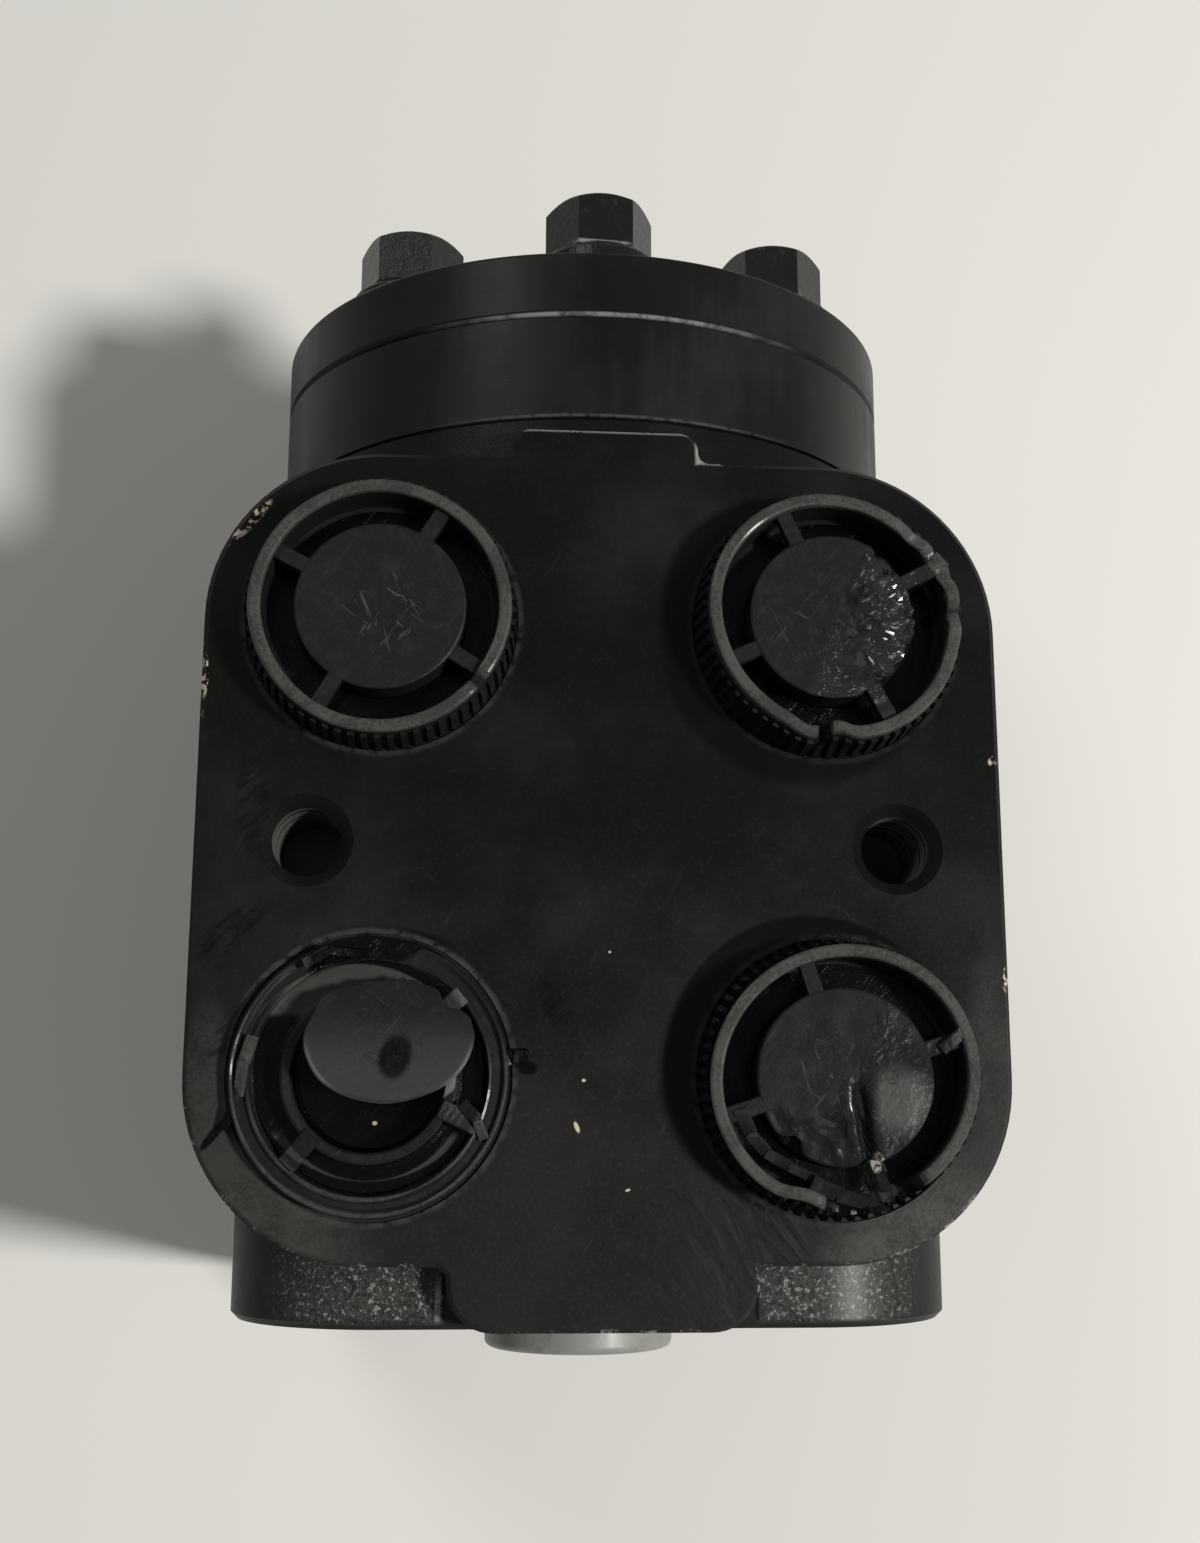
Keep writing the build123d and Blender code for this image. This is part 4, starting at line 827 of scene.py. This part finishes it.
def shapeGearRight(r, angle, z):
    deg = math.degrees(angle) % 360
    up = max(0.0, z) / 7
    x, y = r * math.cos(angle), r * math.sin(angle)
    if r > 12.5 and z > 0.5:
        # the rim is squeezed out of round, torn at upper right and split at the bottom
        r += up * (0.5 * math.cos(2 * (angle - 2.3)) - 0.25)
        torn = bump(turned(deg, 22), 0, 27)
        z -= up * torn * (0.7 + 1.3 * roughRound(angle, 8.0, 11.0))
        r += up * torn * (0.5 + 0.9 * rough(math.cos(angle), math.sin(angle), up, 7.0, 2.0))
        z -= up * 3.4 * bump(turned(deg, 264), 0, 2.2)
        r -= up * 0.9 * bump(turned(deg, 270), 0, 7.0)
        r += up * 0.5 * bump(turned(deg, 256), 0, 7.0)
        z += up * 0.25 * roughRound(angle, 2.2, 5.0)
    elif r < 10.6 and z > 4.0:
        # the disc is gouged right of a curved tear, with a lobe standing up
        tearAt = 2.2 + 0.055 * (y - 2.0) ** 2 * (1 if y > 2 else 0.2) + 1.2 * rough(0, y, 0, 0.3, 6.0)
        gouged = below(-x, -tearAt, 2.4)
        lobe = max(0.0, 1 - ((x - 5.6) / 4.2) ** 2 - ((y - 2.8) / 5.6) ** 2)
        pits = 0.8 * rough(x, y, 0, 0.34, 4.0) + 0.4 * rough(x, y, 0, 0.9, 8.0)
        z += gouged * (pits - 0.4) + 1.1 * lobe
        if r > 9.0 and x > 2:
            r -= 0.7 * gouged * (0.5 + rough(x, y, 0, 0.9, 1.0))
    return r, angle, z


def shapeColumnRight(r, angle, z):
    deg = math.degrees(angle) % 360
    up = max(0.0, z) / 7
    x, y = r * math.cos(angle), r * math.sin(angle)
    if r > 12.5 and z > 0.5:
        # part of the rim is broken off raggedly, the rest bent out of round
        ragged = 1.2 * roughRound(angle, 9.0, 6.0)
        share = below(abs(turned(deg, 283)), 21, 1 / 1.2)
        z = z * (1 - share) + share * min(z, 1.4 + 0.8 * ragged)
        z += up * 0.35 * roughRound(angle, 1.8, 2.0)
        r += up * 0.45 * math.cos(2 * (angle - 0.5)) - (0.9 * (1 - up) if r > 15.2 else 0.0)
        r -= up * 0.8 * bump(turned(deg, 250), 0, 9.0)
    elif r < 10.6 and z > 4.0:
        # gashed from the middle to the lower edge, with the lobe beside it bent up
        gash = bump(x, 1.6 - 0.10 * y, 0.75) * below(y, -1.0, 2)
        z -= 1.5 * gash
        lobe = below(-x, -2.6 - 0.1 * y, 2.2) * below(y, 1.5, 0.8)
        z += 1.0 * lobe * min(1.0, r / 8) + 0.12 * rough(x, y, 0, 0.35, 9.0)
        left = below(x, 0.5, 2) * below(y, -4.5, 1.4)
        z -= 1.6 * left * (0.6 + 0.5 * rough(x, y, 0, 0.5, 3.0))
        if r > 9.0:
            r -= 1.6 * bump(turned(deg, 231), 0, 7.0) + 0.8 * bump(turned(deg, 283), 0, 6.0)
    return r, angle, z


def shapeColumnLeft(r, angle, z):
    missing = bump(turned(math.degrees(angle), 88), 0, 33) ** 0.4
    if r > 13.7 and z > 0.3:
        z -= (z - 0.3) * min(1.0, 1.15 * missing) * (1 + 0.1 * roughRound(angle, 9.0, 4.0))
        z += min(1.0, z / 2) * (0.30 * roughRound(angle, 1.3, 2.0) + 0.12 * roughRound(angle, 5.0, 5.0))
        r += 0.10 * roughRound(angle, 1.6, 1.0)
    elif 8.5 < r < 10.6 and z > 1.0:
        z += 0.30 * roughRound(angle, 2.0, 8.0) + 0.12 * roughRound(angle, 7.0, 3.0)
    return r, angle, z


plugShapes = {"gearLeft": shapeGearLeft, "gearRight": shapeGearRight,
              "columnLeft": shapeColumnLeft, "columnRight": shapeColumnRight}


def addTornDisc(made, centre, radius, tilt, turn, squash, curl, seed):
    # a ragged round flap of the disc, tilted and a little curled
    lean = Euler((tilt, 0, turn)).to_matrix()
    middle = Vector(centre)

    def flap(r, angle, z):
        degrees = math.degrees(angle)
        upper = bump(turned(degrees, 88), 0, 60)
        ragged = 1 + 0.02 * roughRound(angle, 2.4, seed)
        ragged += 0.07 * upper * roughRound(angle, 8.0, seed)
        ragged -= 0.15 * upper + 0.16 * bump(turned(degrees, 33), 0, 9)
        ragged += 0.06 * bump(turned(degrees, 140), 0, 14)
        reach = r * (ragged if r > 0.6 * radius else 1 + (ragged - 1) * r / radius)
        x, y = reach * math.cos(angle), squash * reach * math.sin(angle)
        z += curl * (y / radius) ** 2 * (1 if y > 0 else -0.3) + 0.10 * rough(x, y, 0, 0.3, seed)
        return middle + lean @ Vector((x, y, z))

    profile = [(0, 0.5)] + [(radius * ring / 9, 0.5) for ring in range(1, 9)]
    profile += [(radius - 0.15, 0.48), (radius, 0.3), (radius, -0.3), (radius - 0.15, -0.5)]
    profile += [(radius / 2, -0.5), (0, -0.5)]
    addSweep(made, profile, 96, flap)


def addShred(made, path, width, thickness):  # a thin curling strip of plastic through some points
    for index, (start, end) in enumerate(zip(path, path[1:])):
        taper = 1 - 0.5 * index / len(path)
        addBar(made, start, end, width * taper, thickness, rows=3, twist=0.5)


def makePlug(name, cadNode):
    size = plugSizes
    made = bmesh.new()
    shape = plugShapes[name]
    whole = name != "columnLeft"

    def local(r, angle, z):
        r, angle, z = shape(r, angle, z)
        return Vector((r * math.cos(angle), r * math.sin(angle), z))

    addSweep(made, wholeProfile() if whole else brokenProfile(), size["steps"], local)
    lift = Vector((0, 0, size["discTop"] - 0.15))
    for angle in spokeAngles.get(name, ()):
        addBar(made, heading(angle) * size["spokeStart"] + lift,
               heading(angle) * size["spokeEnd"] + lift, size["spokeWidth"], size["spokeThickness"])
    if not whole:
        spoke = brokenSpokes
        for angle, reach, drop, twist in spoke["spokes"]:
            start = heading(angle) * spoke["start"] + Vector((0, 0, spoke["height"]))
            end = heading(angle) * reach + Vector((0, 0, spoke["height"] - drop))
            addBar(made, start, end, spoke["width"], spoke["thickness"], twist=twist)
        addTornDisc(made, **tornDisc)
    for path, width, thickness in plugShreds.get(name, ()):
        addShred(made, path, width, thickness)
    bmesh.ops.recalc_face_normals(made, faces=made.faces)
    centre = Vector((ports[name][0], ports[name][1], plugSeat))
    bmesh.ops.translate(made, vec=centre, verts=made.verts)
    plug = plainMesh(made, "plug." + name)
    plug.data.materials.append(plugMaterials[name])
    if whole:
        tree, identifiers = ribTree()
        before = len(plug.data.vertices)
        applyTree(plug, tree, identifiers, {
            "Count": size["ribCount"], "Radius": (size["rimRadius"] - 0.2) * mm,
            "Width": size["ribWidth"] * mm, "Depth": size["ribDepth"] * mm,
            "Height": size["ribHeight"] * mm, "Taper": math.radians(size["taper"]),
            "Centre": tuple(centre * mm), "Material": plugMaterials[name]})
        for vertex in plug.data.vertices:  # the ribs follow the rim's dents
            inLocal = vertex.co / mm - centre
            radius = math.hypot(inLocal.x, inLocal.y)
            if vertex.index >= before or radius > size["rimRadius"] + 0.02:
                moved = local(radius, math.atan2(inLocal.y, inLocal.x), inLocal.z)
                vertex.co = (moved + centre) * mm
    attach(plug, "housing")
    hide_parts(cadNode)


for plugName, cadNode in (("gearLeft", "plug_gear_left"), ("gearRight", "plug_gear_right"),
                          ("columnLeft", "plug_column_left"), ("columnRight", "plug_column_right")):
    makePlug(plugName, cadNode)
print("plugs made")

# floor, light and camera

studio = {
    "floorHeight": -45.5, "floorSize": 4000.0,
    "floorShade": (0.74, 0.74, 0.72, 1.0), "floorPatches": (0.70, 0.70, 0.68, 1.0),
    "worldShade": (1.0, 0.99, 0.97, 1.0), "worldStrength": 0.13, "seenStrength": 0.40,
    "lampShade": (1.0, 0.97, 0.93),
}
lamps = {  # place, aim, width and watts
    "key": ((810, -125, 1015), (10, 50, 40), 175, 17.5),
    "soft": ((-950, 1110, 1370), (0, 60, 20), 750, 7.0),
}
view = {  # place in metres, turn in radians, lens and sensor in mm as the camera takes them
    "place": (-0.0166374, 0.0231396, 0.2622177), "turn": (0.200594647, -0.0750449681, 0.00290095184),
    "lens": 41.234, "sensor": 36.0, "clipStart": 0.01,
}


def makeFloor():
    made = bmesh.new()
    half = studio["floorSize"] / 2
    corners = [(-half, -half), (half, -half), (half, half), (-half, half)]
    made.faces.new([made.verts.new((x, y, studio["floorHeight"])) for x, y in corners])
    floor = plainMesh(made, "floor")
    tree = startMaterial("paleFloor")
    cloud = tree.noise(0.01, 3.0, 0.5)
    colour = tree.mix(cloud * 0.25, studio["floorShade"], studio["floorPatches"])
    floor.data.materials.append(finishMaterial(tree, colour, 0.7, Specular_IOR_Level=0.2))


def makeWorld():
    world = bpy.data.worlds.new("studio")
    world.use_nodes = True
    world.node_tree.nodes.clear()
    tree = Tree(world.node_tree)
    rays = tree.node("ShaderNodeLightPath", output="Is Camera Ray")
    seen = tree.most(rays, rays.out("Is Glossy Ray"), rays.out("Is Transmission Ray"))
    strength = studio["worldStrength"] + (studio["seenStrength"] - studio["worldStrength"]) * seen
    glow = tree.node("ShaderNodeBackground", None,
                     {"Color": studio["worldShade"], "Strength": strength})
    tree.node("ShaderNodeOutputWorld", None, {"Surface": glow})
    bpy.context.scene.world = world


def makeLamp(name, place, aim, width, watts):
    light = bpy.data.lights.new(name, "AREA")
    light.shape = "DISK"
    light.size = width * mm
    light.energy = watts
    light.color = studio["lampShade"]
    lamp = bpy.data.objects.new(name, light)
    lamp.location = Vector(place) * mm
    lamp.rotation_euler = (Vector(aim) - Vector(place)).to_track_quat("-Z", "Y").to_euler()
    bpy.context.scene.collection.objects.link(lamp)


def makeCamera():
    lens = bpy.data.cameras.new("camera")
    lens.sensor_width = view["sensor"]
    lens.lens = view["lens"]
    lens.clip_start = view["clipStart"]
    camera = bpy.data.objects.new("camera", lens)
    camera.location = view["place"]
    camera.rotation_euler = view["turn"]
    bpy.context.scene.collection.objects.link(camera)
    bpy.context.scene.camera = camera


makeFloor()
makeWorld()
for lampName, values in lamps.items():
    makeLamp(lampName, *values)
makeCamera()
bpy.context.scene.view_settings.view_transform = "Standard"
print("studio set")
